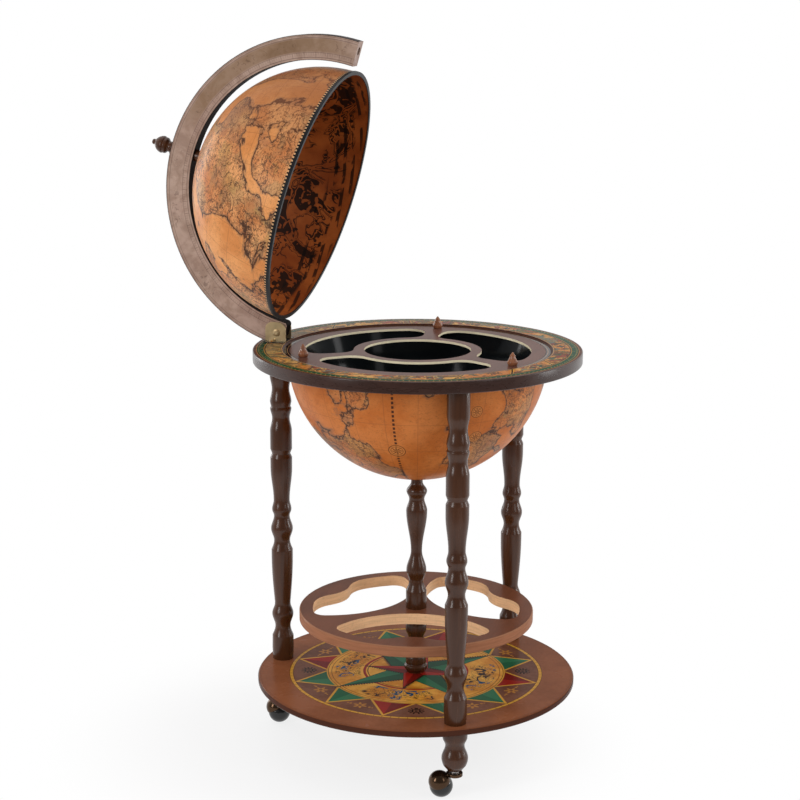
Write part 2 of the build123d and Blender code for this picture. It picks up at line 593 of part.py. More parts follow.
def end_plug():
    """Plug sunk in the free end of the meridian."""
    low = ARC_CENTRE - MERIDIAN_TAIL + END_PLUG_RECESS
    return Pos(end_plug_place(), 0, 0) * rod(END_PLUG_RADIUS, low, low + END_PLUG_LENGTH)


def hinge_bush():
    """Sleeve pressed into the meridian, running on the pin."""
    half = MERIDIAN_THICKNESS / 2
    return along_pivot(rod(PIN_RADIUS + FIT_GAP + BUSH_WALL, -half, half) - rod(PIN_RADIUS + FIT_GAP, -half, half))


def upper_shell():
    """Upper half of the globe."""
    inner = UPPER_RADIUS - UPPER_WALL
    outer_start, inner_start = (degrees(asin(TRIM_FOOT / radius)) for radius in (UPPER_RADIUS, inner))
    shell = turned(
        *round_points(UPPER_RADIUS, outer_start, 90, GLOBE_BANDS, RIM_PLANE),
        *reversed(round_points(inner, inner_start, 90, GLOBE_BANDS, RIM_PLANE)),
    )
    top = RIM_PLANE + UPPER_RADIUS
    return shell - rod(POLE_SCREW_RADIUS + FIT_GAP, top - 2 * UPPER_WALL, top)


def rim_trim():
    """Edge trim round the mouth of the upper half: a foot under the edge and a lip outside it."""
    inner = UPPER_RADIUS - UPPER_WALL - TRIM_PROUD
    outer = UPPER_RADIUS + TRIM_PROUD
    lip = UPPER_RADIUS + FIT_GAP
    return turned(
        (inner, RIM_PLANE), (outer, RIM_PLANE), (outer, RIM_PLANE + TRIM_HEIGHT), (lip, RIM_PLANE + TRIM_HEIGHT),
        (lip, RIM_PLANE + TRIM_FOOT), (inner, RIM_PLANE + TRIM_FOOT),
    )


def pole_spacer():
    """Collar between the shell's pole and the meridian."""
    low = RIM_PLANE + UPPER_RADIUS
    high = ARC_CENTRE + MERIDIAN_INNER - arc_dip(MERIDIAN_INNER, SPACER_RADIUS)
    return rod(SPACER_RADIUS, low, high) - rod(POLE_SCREW_RADIUS + FIT_GAP, low, high)


def pole_screw():
    """Screw from inside the shell, through spacer and meridian, into the finial."""
    head = RIM_PLANE + UPPER_RADIUS - UPPER_WALL - pole_rise(POLE_SCREW_HEAD)
    low = head - POLE_SCREW_HEAD_HEIGHT
    tip = ARC_CENTRE + MERIDIAN_OUTER + POLE_SCREW_GRIP
    return turned(
        (0, low), (POLE_SCREW_HEAD / 2, low), (POLE_SCREW_HEAD, low + POLE_SCREW_HEAD_HEIGHT / 2),
        (POLE_SCREW_HEAD, head), (POLE_SCREW_RADIUS, head), (POLE_SCREW_RADIUS, tip), (0, tip),
    )


def finial():
    """Turned finial outside the meridian, over the pole screw."""
    seat = ARC_CENTRE + MERIDIAN_OUTER
    turning = spindle(FINIAL_PATTERN, FINIAL_LENGTH, FINIAL_RADIUS, seat + FINIAL_LENGTH)
    return turning - rod(POLE_SCREW_RADIUS + FIT_GAP, seat, seat + POLE_SCREW_GRIP + END_GAP)


def opened(shape):
    """Swings a piece of the lid from shut to open about the hinge pin."""
    return shape.rotate(HINGE_AXIS, -LID_OPEN_ANGLE)


# ---------------------------------------------------------------- casters, on the Z axis, trailing along +X
STEM_BOSS_TOP = CASTER_HEIGHT - SOCKET_FLANGE - STEM_COLLAR_HEIGHT
SOCKET_BORE = STEM_RADIUS + FIT_GAP


def on_axle(shape):
    """Puts a shape drawn on the Z axis about the origin onto the tilted axle, at the ball's centre."""
    return Pos(CASTER_TRAIL, 0, BALL_RADIUS) * Rot(0, 0, AXLE_LEAD) * Rot(0, 90 - AXLE_TILT, 0) * shape


def ball_wheel():
    """Ball that rolls on the tilted axle; its rings of straight bands meet the floor on an edge."""
    rings = [BALL_FLAT_ANGLE, 90 - AXLE_TILT, 45, 70, 90, 110, 135, 180 - BALL_FLAT_ANGLE]
    outline = [(BALL_RADIUS * sin(radians(ring)), -BALL_RADIUS * cos(radians(ring))) for ring in rings]
    low, high = outline[0][1], outline[-1][1]
    ball = turned((0, low), *outline, (0, high))
    ball -= rod(AXLE_RADIUS + FIT_GAP, low, high)
    return on_axle(ball - rod(AXLE_HEAD_RADIUS + BALL_SIDE_GAP, low, low + AXLE_HEAD_HEIGHT + BALL_SIDE_GAP))


def axle_ends():
    """Lower end of the axle's head and upper end of its shank, from the ball's centre."""
    low = -BALL_RADIUS * cos(radians(BALL_FLAT_ANGLE))
    return low, HOOD_OFFSET + HOOD_RADIUS - HOOD_WALL / 2


def caster_axle():
    """Headed axle, held in the hood's pole."""
    low, high = axle_ends()
    neck = low + AXLE_HEAD_HEIGHT
    return on_axle(turned(
        (0, low), (AXLE_HEAD_RADIUS, low), (AXLE_HEAD_RADIUS, neck), (AXLE_RADIUS, neck), (AXLE_RADIUS, high), (0, high),
    ))


def caster_hood():
    """Domed hood over the ball, with its axle boss inside, and the arm and boss that carry the stem."""
    inner = HOOD_RADIUS - HOOD_WALL
    _, axle_tip = axle_ends()
    boss_face = BALL_RADIUS * cos(radians(BALL_FLAT_ANGLE)) + BALL_SIDE_GAP
    dome = turned(*round_points(HOOD_RADIUS, 0, 90, HOOD_CUTS, HOOD_OFFSET), (0, HOOD_OFFSET))
    inside = round_points(inner, 0, 90, HOOD_CUTS, HOOD_OFFSET)[:-1]
    hollow = turned(
        *inside, (inside[-1][0], boss_face), (AXLE_RADIUS, boss_face), (AXLE_RADIUS, axle_tip), (0, axle_tip),
        (0, HOOD_OFFSET),
    )
    stem_boss = rod(STEM_BOSS_RADIUS, STEM_BOSS_TOP - STEM_BOSS_HEIGHT, STEM_BOSS_TOP)
    towards = on_axle(Pos(0, 0, HOOD_OFFSET)).position
    arm = Rot(0, 0, degrees(atan2(towards.Y, towards.X))) * Pos(0, 0, STEM_BOSS_TOP - STEM_BOSS_HEIGHT / 2) * Box(
        hypot(towards.X, towards.Y), ARM_WIDTH, ARM_HEIGHT, align=(Align.MIN, Align.CENTER, Align.CENTER)
    )
    hood = on_axle(dome) + stem_boss + arm - on_axle(hollow)
    return hood - rod(STEM_RADIUS, STEM_BOSS_TOP - STEM_BOSS_HEIGHT, STEM_BOSS_TOP)


def caster_stem():
    """Stem pressed in the hood's boss, with the collar that bears on the socket's flange."""
    low = STEM_BOSS_TOP - STEM_BOSS_HEIGHT
    seat = STEM_BOSS_TOP + STEM_COLLAR_HEIGHT
    tip = CASTER_HEIGHT + STEM_IN_SOCKET - END_GAP
    return turned(
        (0, low), (STEM_RADIUS, low), (STEM_RADIUS, STEM_BOSS_TOP), (STEM_COLLAR_RADIUS, STEM_BOSS_TOP),
        (STEM_COLLAR_RADIUS, seat), (STEM_RADIUS, seat), (STEM_RADIUS, tip), (0, tip),
    )


def caster_socket():
    """Flanged sleeve in the foot, in which the stem turns."""
    low = CASTER_HEIGHT - SOCKET_FLANGE
    high = CASTER_HEIGHT + STEM_IN_SOCKET
    outer = SOCKET_BORE + SOCKET_WALL
    return turned(
        (SOCKET_BORE, low), (SOCKET_FLANGE_RADIUS, low), (SOCKET_FLANGE_RADIUS, CASTER_HEIGHT),
        (outer, CASTER_HEIGHT), (outer, high), (SOCKET_BORE, high),
    )


# ---------------------------------------------------------------- nodes
os.makedirs("parts", exist_ok=True)
save("base_disc", base_disc())
save("bun_feet", *on_legs(foot()))
save("foot_studs", *on_legs(rod(STUD_RADIUS, BASE_BOTTOM - STUD_IN_FOOT, BASE_TOP + STUD_IN_LEG)))
save("leg_dowels", *on_legs(rod(DOWEL_RADIUS, RING_BOTTOM - DOWEL_IN_LEG, RING_BOTTOM + DOWEL_IN_RING)))
for place, shape in zip(("hinge", "front", "rear"), on_legs(leg())):
    save(f"leg_{place}", shape)
save("horizon_ring", horizon_ring())
save("column_lower", column(LOWER_COLUMN_PATTERN, SHELF_LEG_LENGTH, LOWER_COLUMN_RADIUS, SHELF_BOTTOM))
save("bottle_shelf", bottle_shelf())
save("column_upper", column(UPPER_COLUMN_PATTERN, GLOBE_BOTTOM - SHELF_TOP, COLUMN_RADIUS, GLOBE_BOTTOM))
save("tie_rod", tie_rod())
save("tie_rod_nuts", *tie_rod_nuts())
save("globe_lower_shell", lower_shell())
save("globe_liner", liner())

save("tray_plate", tray_plate())
save("tray_knobs", *[around(knob_angle(step), KNOB_CIRCLE) * tray_knob() for step in range(LEG_COUNT)])
save("tray_screws", *[around(knob_angle(step), KNOB_CIRCLE) * tray_screw() for step in range(LEG_COUNT)])

save("hinge_plate", bracket_plate())
save("hinge_cheek_front", bracket_cheek(-1))
save("hinge_cheek_rear", bracket_cheek(1))
save("hinge_pin", hinge_pin())
save("hinge_pin_nut", pin_nut())
save("hinge_screws", *bracket_screw_places(bracket_screw()))

save("meridian", opened(meridian()))
save("meridian_end_plug", opened(end_plug()))
save("hinge_bush", opened(hinge_bush()))
save("globe_upper_shell", opened(upper_shell()))
save("globe_rim_trim", opened(rim_trim()))
save("pole_spacer", opened(pole_spacer()))
save("pole_screw", opened(pole_screw()))
save("finial", opened(finial()))

save("caster_sockets", *on_legs(caster_socket()))
for place, leg_angle, trail_angle in zip(("hinge", "front", "rear"), LEG_ANGLES, CASTER_TRAIL_ANGLES):
    swivel = around(leg_angle, LEG_CIRCLE) * Rot(0, 0, trail_angle - leg_angle)
    save(f"caster_hood_{place}", swivel * caster_hood())
    save(f"caster_stem_{place}", swivel * caster_stem())
    save(f"caster_axle_{place}", swivel * caster_axle())
    save(f"caster_wheel_{place}", swivel * ball_wheel())
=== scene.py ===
from functools import partial, reduce
from math import asin, atan2, cos, degrees, pi, radians, sin

import bmesh
import bpy
from mathutils import Matrix, Vector


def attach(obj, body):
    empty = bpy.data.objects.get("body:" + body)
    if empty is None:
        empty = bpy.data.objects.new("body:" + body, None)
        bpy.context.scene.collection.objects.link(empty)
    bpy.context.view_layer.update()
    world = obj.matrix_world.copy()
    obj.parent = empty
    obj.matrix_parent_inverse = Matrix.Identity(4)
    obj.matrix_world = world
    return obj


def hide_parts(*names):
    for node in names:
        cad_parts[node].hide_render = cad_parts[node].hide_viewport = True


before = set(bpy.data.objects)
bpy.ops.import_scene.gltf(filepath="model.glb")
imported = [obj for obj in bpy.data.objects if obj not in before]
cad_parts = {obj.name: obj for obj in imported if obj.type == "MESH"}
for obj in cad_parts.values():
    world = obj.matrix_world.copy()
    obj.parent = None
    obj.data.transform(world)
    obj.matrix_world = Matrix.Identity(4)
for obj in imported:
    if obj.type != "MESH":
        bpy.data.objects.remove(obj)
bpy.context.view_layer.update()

MM = 0.001

# ---------------------------------------------------------------- sizes, in mm, as in the source
CASTER_HEIGHT, FOOT_HEIGHT, BASE_THICKNESS = 44.0, 64.0, 10.0
LEG_LENGTH, RING_THICKNESS = 505.0, 18.0
SHELF_LEG_LENGTH, SHELF_THICKNESS = 89.5, 17.2
BASE_BOTTOM = CASTER_HEIGHT + FOOT_HEIGHT
BASE_TOP = BASE_BOTTOM + BASE_THICKNESS
RING_BOTTOM = BASE_TOP + LEG_LENGTH
RING_TOP = RING_BOTTOM + RING_THICKNESS
SHELF_BOTTOM = BASE_TOP + SHELF_LEG_LENGTH
SHELF_TOP = SHELF_BOTTOM + SHELF_THICKNESS
LEG_CIRCLE, RING_RADIUS = 222.0, 252.0
LEG_ANGLES = (180.0, 300.0, 60.0)
PLACES = ("hinge", "front", "rear")
GLOBE_RADIUS, GLOBE_CENTRE, LOWER_WALL = 200.0, RING_TOP - 2.2, 2.0
FLANGE_BOTTOM, FLANGE_TOP, FLANGE_RADIUS = RING_TOP - 6.0, RING_TOP - 4.0, 203.4
RING_BORE, REBATE_RADIUS, RING_CHAMFER, RING_ROUND = 200.6, 204.0, 2.5, 1.5
UPPER_RADIUS, UPPER_WALL, MOUTH_HEIGHT = 195.5, 3.4, 1.5
ARC_CENTRE = RING_TOP + 11.8
RIM_PLANE = ARC_CENTRE - 7.0
MERIDIAN_INNER, MERIDIAN_OUTER, MERIDIAN_TAIL = 204.0, 242.0, 4.9
ROD_BORE = 3.1  # radius of the holes for tie rod and pole screw
POLE_LATITUDE = 89.0  # the globe's arcs end here, at the hole
SPACER_RADIUS, SPACER_GAP = 9.0, 0.2
LID_OPEN_ANGLE = 74.2
PIVOT = Vector((-223.0, 0.0, RING_TOP + 14.2)) * MM
OPEN = (Matrix.Translation(PIVOT) @ Matrix.Rotation(radians(-LID_OPEN_ANGLE), 4, "Y")
        @ Matrix.Translation(-PIVOT))
TRAY_TOP = RING_TOP - 2.5
TRAY_REACH, SHELF_REACH = 190.0, 175.0  # cut walls of tray and shelf lie inside these radii
KNOB_ANGLES = (334.5, 94.5, 214.5)
KNOB_CIRCLE, KNOB_HEIGHT, KNOB_SCREW_BORE, FINIAL_HEIGHT = 182.5, 19.5, 2.0, 36.0
FOOT_BORE, FOOT_BORE_DEPTH = 6.0, 8.0
BALL_RADIUS, BALL_FLAT, TRAIL, LEAD, TILT = 17.6, 20.0, 20.0, 65.0, 60.0
TRAIL_ANGLES = (130.0, 188.0, 150.0)
HOOD_RADIUS, HOOD_WALL, HOOD_OFFSET = 16.6, 1.2, 9.5
HOOD_INSIDE_TOP, AXLE_SEAT_RADIUS, AXLE_RADIUS, AXLE_SEAT_HEIGHT = 66.0, 5.9, 2.5, 16.95
BALL_BORE, BALL_RECESS_RADIUS, BALL_RECESS_DEPTH = 2.6, 4.4, 2.0
STEM_BOSS_TOP, STEM_BOSS_HEIGHT = CASTER_HEIGHT - 4.5, 5.0
STEM_RADIUS, STEM_BOSS_RADIUS = 4.0, 12.2
ARM_HALF_WIDTH, ARM_START, ARM_END_ROOM, ARM_INSET = 6.0, 4.0, 10.5, 0.5
BOX_FACES = ((0, 1, 3, 2), (4, 6, 7, 5), (0, 4, 5, 1), (2, 3, 7, 6), (1, 5, 7, 3), (0, 2, 6, 4))

# turned patterns: (distance from the top, radius, form of the stretch that ends there)
LEG_PATTERN = [
    (0, 16.9, ""), (37, 16.9, "straight"), (59, 13.7, "ogee"), (80, 16.9, "ogee"),
    (87.5, 15.2, "straight"), (90, 16.8, "straight"), (106, 13.8, "ogee"), (127, 17.2, "ogee"),
    (156, 17.2, "straight"), (163.5, 14.4, "straight"), (170, 17.2, "straight"),
    (186, 17.2, "straight"), (240, 12.7, "ogee"), (255, 15.4, "ogee"), (266, 12.5, "ogee"),
    (287, 17.4, "ogee"), (306.5, 12.7, "ogee"), (321.5, 17.0, "swell"), (332, 17.0, "straight"),
    (409, 12.6, "swell"), (412, 12.6, "straight"), (429, 17.1, "ogee"), (449.5, 12.2, "ogee"),
    (465.5, 16.9, "swell"), (487, 17.3, "straight"), (505, 16.2, "straight"),
]
UPPER_COLUMN_PATTERN = [
    (0, 8.5, ""), (10, 9.2, "straight"), (24, 16.1, "ogee"), (37, 11.9, "ogee"),
    (56, 16.5, "ogee"), (121.5, 8.7, "ogee"), (153, 15.8, "ogee"), (170.5, 11.3, "ogee"),
    (186, 16.2, "swell"), (214.1, 16.2, "straight"),
]
LOWER_COLUMN_PATTERN = [
    (0, 14.0, ""), (12, 16.4, "ogee"), (19, 16.4, "straight"), (32, 12.3, "ogee"),
    (46, 15.8, "ogee"), (57, 12.9, "ogee"), (67, 15.8, "ogee"), (73.5, 16.2, "straight"),
    (75, 15.6, "straight"), (79, 18.3, "ogee"), (82, 18.3, "straight"), (89.5, 14.0, "ogee"),
]
FOOT_PATTERN = [
    (0, 18.6, ""), (12, 18.6, "straight"), (25, 14.4, "ogee"), (45, 19.9, "ogee"),
    (56, 17.4, "swell"), (64, 11.1, "straight"),
]
FINIAL_PATTERN = [
    (0, 1.6, ""), (0.7, 3.3, "straight"), (2.6, 4.5, "straight"), (4.4, 4.1, "straight"),
    (5.4, 4.7, "straight"), (8, 8.2, "straight"), (11, 10.8, "straight"), (14.5, 12.7, "straight"),
    (18, 13.5, "straight"), (19.6, 13.1, "straight"), (20.4, 11.9, "straight"),
    (22, 12.6, "straight"), (24, 12.3, "straight"), (29, 8.3, "ogee"), (31.5, 8.3, "straight"),
    (33.6, 10.2, "straight"), (34.2, 11.8, "straight"), (36, 11.8, "straight"),
]
KNOB_PATTERN = [
    (0, 0.8, ""), (5, 4.2, "straight"), (14, 7.9, "swell"), (17, 7.6, "straight"),
    (19.5, 6.2, "straight"),
]
GENTLE_CORNER = radians(18)
FORMS = {
    "straight": lambda share: share,
    "ogee": lambda share: (1 - cos(pi * share)) / 2,
    "swell": lambda share: 1 - cos(pi * share / 2),
}

# ---------------------------------------------------------------- light, floor and camera
LAMPS = (  # name, place, point it aims at, size, watts
    ("key", (-1.9, -2.6, 1.5), (0, 0, 0.6), (0.6, 1.6), 34),
    ("fill", (2.6, -1.4, 1.5), (0, 0, 0.6), (0.5, 1.6), 10),
    ("side", (2.4, 0.9, 0.9), (0, 0, 0.6), (0.4, 1.2), 15),
    ("left", (-2.2, 1.2, 0.9), (0, 0, 0.6), (0.4, 1.2), 8),
    ("top", (0, 0.2, 3.2), (0, 0, 0.4), (2.2, 2.2), 10),
)
DAYLIGHT = 0.6  # strength of the world as diffuse light
ROOM = 0.2  # strength of the unlit room in reflections
BACKDROP_WAY = (-0.2622, 0.9650, 0.0)  # from the object to the white backdrop
FLOOR_HALF = 1.2  # metres from the middle of the floor to its edge
FLOOR_SHADOW = 0.20  # share of real light on the white floor near the object, for its shadow
SHADOW_CENTRE, SHADOW_INNER, SHADOW_OUTER = (-0.12, -0.02), 0.20, 0.50
CAMERA_PLACE = (0.7207, -2.7544, 1.198)
HEADING, PITCH, ROLL = Vector((-0.2622, 0.9650)), radians(12.65), radians(0.22)
FOCAL_LENGTH, SENSOR_WIDTH = 85.27, 36.0


# ---------------------------------------------------------------- mesh helpers
def spindle_points(pattern, top):
    """Points (radius, height) down a turned spindle."""
    points = [(pattern[0][1], top)]
    for (start, from_radius, _), (end, to_radius, form) in zip(pattern, pattern[1:]):
        cuts = 1 if form == "straight" else 8
        for cut in range(1, cuts + 1):
            share = cut / cuts
            radius = from_radius + (to_radius - from_radius) * FORMS[form](share)
            points.append((radius, top - start - (end - start) * share))
    return points


def arc_points(radius, start, end, cuts, centre=0.0):
    """Points (radius, height) on a round about the Z axis."""
    steps = [radians(start + (end - start) * step / cuts) for step in range(cuts + 1)]
    return [(radius * cos(a), centre + radius * sin(a)) for a in steps]


def eased(profile, size, cuts=3):
    """A profile with each corner rounded by about size mm; gentle corners stay."""
    out = [profile[0]]
    for a, b, c in zip(profile, profile[1:], profile[2:]):
        u, v = Vector((a[0] - b[0], a[1] - b[1])), Vector((c[0] - b[0], c[1] - b[1]))
        if u.length < 1e-6 or v.length < 1e-6:
            continue
        if pi - u.angle(v) < GENTLE_CORNER:
            out.append(b)
            continue
        reach = min(size, 0.45 * u.length, 0.45 * v.length)
        m = Vector(b)
        p, q = m + u.normalized() * reach, m + v.normalized() * reach
        for cut in range(cuts + 1):
            t = cut / cuts
            out.append(tuple((1 - t) ** 2 * p + 2 * t * (1 - t) * m + t**2 * q))
    out.append(profile[-1])
    return out


def spindle(pattern, top, upper_bore, lower_bore, ease):
    """Profile of a whole spindle, from its axis or bore at the top to that at its foot."""
    points = spindle_points(pattern, top)
    return eased([(upper_bore, top), *points, (lower_bore, points[-1][1])], ease)


def mesh_object(name, bm, *materials):
    mesh = bpy.data.meshes.new(name)
    bmesh.ops.recalc_face_normals(bm, faces=bm.faces)
    bm.to_mesh(mesh)
    bm.free()
    for material in materials:
        mesh.materials.append(material)
    piece = bpy.data.objects.new(name, mesh)
    bpy.context.scene.collection.objects.link(piece)
    return piece


def lathe(bm, profile, segments=96, place=Matrix(), sharp=28.0, slot=0):
    """Adds a turned surface to bm from points (radius, height) in mm.

    Corners of more than sharp degrees stay sharp; a point on the axis closes the surface.
    """
    rings = []
    for radius, height in profile:
        ring = []
        for turn in range(segments if radius >= 1e-6 else 1):
            a = 2 * pi * turn / segments
            spot = (radius * cos(a) * MM, radius * sin(a) * MM, height * MM)
            ring.append(bm.verts.new(place @ Vector(spot)))
        rings.append(ring)
    for first, second in zip(rings, rings[1:]):
        for turn in range(segments):
            after = (turn + 1) % segments
            if len(first) == 1:
                corners = (first[0], second[turn], second[after])
            elif len(second) == 1:
                corners = (first[turn], first[after], second[0])
            else:
                corners = (first[turn], first[after], second[after], second[turn])
            face = bm.faces.new(corners)
            face.smooth = True
            face.material_index = slot
    for ring, a, b, c in zip(rings[1:], profile, profile[1:], profile[2:]):
        u, v = (b[0] - a[0], b[1] - a[1]), (c[0] - b[0], c[1] - b[1])
        turned = abs(degrees(atan2(u[0] * v[1] - u[1] * v[0], u[0] * v[0] + u[1] * v[1])))
        if turned > sharp:
            for turn in range(segments):
                bm.edges.get((ring[turn], ring[(turn + 1) % segments])).smooth = False


def turned_piece(name, profile, material, body, node, places=(Matrix(),), segments=96,
                 sharp=28.0, world=Matrix()):
    """A turned piece, once at each of its places, that stands for a CAD node."""
    bm = bmesh.new()
    for place in places:
        lathe(bm, profile, segments, place, sharp)
    piece = mesh_object(name, bm, material)
    piece.matrix_world = world
    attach(piece, body)
    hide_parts(node)


def at_leg(angle):
    a = radians(angle)
    return Matrix.Translation((LEG_CIRCLE * cos(a) * MM, LEG_CIRCLE * sin(a) * MM, 0))


# ---------------------------------------------------------------- node trees
MIX_A, MIX_B, MIX_RESULT = 6, 7, 2  # the colour sockets of a Mix node
FULL_TURNS = 4 * pi  # added to an angle, so that its remainder is taken of a positive number


def arithmetic(operation, swapped=False):
    """A method of Value that adds one math node."""
    def run(value, other=0.0):
        return calc(operation, *((other, value) if swapped else (value, other)))
    return run


class Value:
    """An output socket; arithmetic on it adds math nodes."""

    def __init__(self, nodes, socket):
        self.nodes, self.socket = nodes, socket

    __add__, __radd__ = arithmetic("ADD"), arithmetic("ADD", True)
    __sub__, __rsub__ = arithmetic("SUBTRACT"), arithmetic("SUBTRACT", True)
    __mul__, __rmul__ = arithmetic("MULTIPLY"), arithmetic("MULTIPLY", True)
    __mod__, __lt__ = arithmetic("MODULO"), arithmetic("LESS_THAN")
    __abs__ = arithmetic("ABSOLUTE")


class Nodes:
    """A small builder for a node tree."""

    def __init__(self, tree):
        self.tree = tree

    def put(self, socket, value):
        if isinstance(value, Value):
            self.tree.links.new(value.socket, socket)
        else:
            socket.default_value = value

    def node(self, kind, inputs=(), **settings):
        """Adds a node and feeds its inputs, given by name or number."""
        node = self.tree.nodes.new("ShaderNode" + kind)
        for key, value in settings.items():
            setattr(node, key, value)
        for key, value in dict(inputs).items():
            self.put(node.inputs[key], value)
        return node

    def add(self, kind, inputs=(), out=0, **settings):
        """Adds a node and gives one of its outputs."""
        return Value(self, self.node(kind, inputs, **settings).outputs[out])

    def seen_directly(self):
        """1 for what the camera sees straight, in a reflection or through glass."""
        rays = self.node("LightPath").outputs
        kinds = ("Is Camera Ray", "Is Glossy Ray", "Is Transmission Ray")
        return maximum(*(Value(self, rays[kind]) for kind in kinds))


class Graph(Nodes):
    """The nodes of one material, which are laid out in object coordinates."""

    def __init__(self, name, **sockets):
        self.material = bpy.data.materials.new(name)
        self.material.use_nodes = True
        super().__init__(self.material.node_tree)
        self.shader = self.tree.nodes["Principled BSDF"]
        for key, value in sockets.items():
            self.put(self.shader.inputs[key.replace("_", " ")], value)
        self.at = self.add("TexCoord", out="Object")

    def done(self, color, rough, height, strength, distance):
        """Links colour, roughness and bump, and gives the finished material."""
        bump = {"Strength": strength, "Distance": distance, "Height": height}
        links = {"Base Color": color, "Roughness": rough, "Normal": self.add("Bump", bump)}
        for key, value in links.items():
            self.put(self.shader.inputs[key], value)
        return self.material


def calc(operation, *values, clamp=False):
    nodes = next(value.nodes for value in values if isinstance(value, Value))
    return nodes.add("Math", enumerate(values), operation=operation, use_clamp=clamp)


sine, cosine, arctan2 = (partial(calc, kind) for kind in ("SINE", "COSINE", "ARCTAN2"))


def maximum(*values):
    return reduce(partial(calc, "MAXIMUM"), values)


def split(vector):
    node = vector.nodes.node("SeparateXYZ", {0: vector})
    return [Value(vector.nodes, socket) for socket in node.outputs]


def moved(vector, scale=(1, 1, 1), shift=(0, 0, 0), turn=(0, 0, 0)):
    inputs = {0: vector, "Scale": scale, "Location": shift, "Rotation": turn}
    return vector.nodes.add("Mapping", inputs)


def noise(vector, scale, detail=4.0, rough=0.55, distortion=0.0):
    inputs = {"Vector": vector, "Scale": scale, "Detail": detail, "Roughness": rough}
    return vector.nodes.add("TexNoise", {**inputs, "Distortion": distortion}, "Fac")


def voronoi(vector, scale):
    """(distance to the nearest of scattered points, place of that point)"""
    outputs = vector.nodes.node("TexVoronoi", {"Vector": vector, "Scale": scale}).outputs
    return [Value(vector.nodes, outputs[key]) for key in ("Distance", "Position")]


def ramp(value, stops):
    """Colour by value, from stops of (place, colour)."""
    node = value.nodes.node("ValToRGB", {0: value})
    elements = node.color_ramp.elements
    while len(elements) < len(stops):
        elements.new(1.0)
    for element, (place, color) in zip(elements, stops):
        element.position = place
        element.color = (*color, 1.0)
    return Value(value.nodes, node.outputs[0])


def mix(share, a, b):
    """Colour a where share is 0, b where it is 1."""
    a, b = (end if isinstance(end, Value) else (*end, 1.0) for end in (a, b))
    inputs = {"Factor": share, MIX_A: a, MIX_B: b}
    return share.nodes.add("Mix", inputs, MIX_RESULT, data_type="RGBA")


def lay(color, mask, tint, share=1.0):
    """Colour with a tint laid over it where mask is 1."""
    return mix(mask if share == 1.0 else mask * share, color, tint)


def step(value, low, high, bottom=0.0, top=1.0):
    """bottom below low, top above high, smooth between."""
    inputs = {"Value": value, "From Min": low, "From Max": high, "To Min": bottom, "To Max": top}
    return value.nodes.add("MapRange", inputs, "Result", interpolation_type="SMOOTHSTEP")


def below(value, edge, soft):
    """1 below edge, 0 above edge + soft."""
    return 1 - step(value, edge, edge + soft)


def band(value, low, high, soft):
    """1 between low and high."""
    return step(value, low - soft, low + soft) * (1 - step(value, high - soft, high + soft))


def line(value, place, half, soft):
    """1 within half of place."""
    return band(value, place - half, place + half, soft)


def hyp(x, y):
    return calc("SQRT", x * x + y * y)


def wedge(angle, turns, shift=0.0):
    """Angle from the nearest of a number of even directions, in radians, always positive."""
    part = 2 * pi / turns
    return abs((angle + (FULL_TURNS - radians(shift) + part / 2)) % part - part / 2)


def polar(g, centre=(0.0, 0.0)):
    """(radius in metres, angle in radians) about the Z axis."""
    x, y, _ = split(moved(g.at, shift=(-centre[0], -centre[1], 0)))
    return hyp(x, y), arctan2(y, x)


def facing(g, axis):
    """1 where the surface lies across an axis, 0 where it lies along it."""
    return abs(split(g.add("TexCoord", out="Normal"))[axis])


def dot(unit, axis):
    inputs = {0: unit, 1: tuple(axis)}
    return unit.nodes.add("VectorMath", inputs, "Value", operation="DOT_PRODUCT")


def sphere_axes(g, centre):
    """(unit direction, latitude, longitude) seen from the globe's centre, centre mm up."""
    from_centre = moved(g.at, shift=(0, 0, -centre * MM))
    unit = g.add("VectorMath", {0: from_centre}, operation="NORMALIZE")
    x, y, z = split(unit)
    return unit, calc("ARCSINE", z), arctan2(y, x)


def srgb(*levels):
    """Linear colour from 0 to 255 display values."""
    shares = [level / 255 for level in levels]
    return tuple(v / 12.92 if v <= 0.04045 else ((v + 0.055) / 1.055) ** 2.4 for v in shares)


def toned(color, factor):
    return tuple(c * factor for c in color)


# ---------------------------------------------------------------- plain finishes
def wood(name, dark, mid, light, along=(1, 1, 0.06), scale=90, gloss=0.20, coat=0.0, bump=0.01):
    """Stained wood with its grain along one axis."""
    g = Graph(name, Coat_Weight=coat, Coat_Roughness=0.2, Specular_IOR_Level=0.4)
    lengthwise = moved(g.at, along)
    grain = noise(lengthwise, scale, 6, 0.6, 0.6)
    broad = noise(lengthwise, scale * 0.18, 3, 0.5, 0.8)
    fine = noise(moved(g.at, along, (3, 1, 2)), scale * 6, 3, 0.6)
    color = ramp(grain * 0.5 + broad * 0.5, [(0.36, dark), (0.5, mid), (0.66, light)])
    color = lay(color, step(fine, 0.56, 0.72), dark, 0.14)
    return g.done(color, gloss + grain * 0.12, grain + fine * 0.4, bump, 0.0006)


def plain(name, color, rough, **sockets):
    """A near-uniform finish with a little mottling and fine texture."""
    g = Graph(name, **sockets)
    spots, fine = noise(g.at, 60, 4, 0.6), noise(g.at, 720, 3, 0.6)
    color = ramp(spots, [(0.35, toned(color, 0.88)), (0.65, toned(color, 1.12))])
    return g.done(color, rough - 0.05 + spots * 0.1, fine, 0.03, 0.0003)


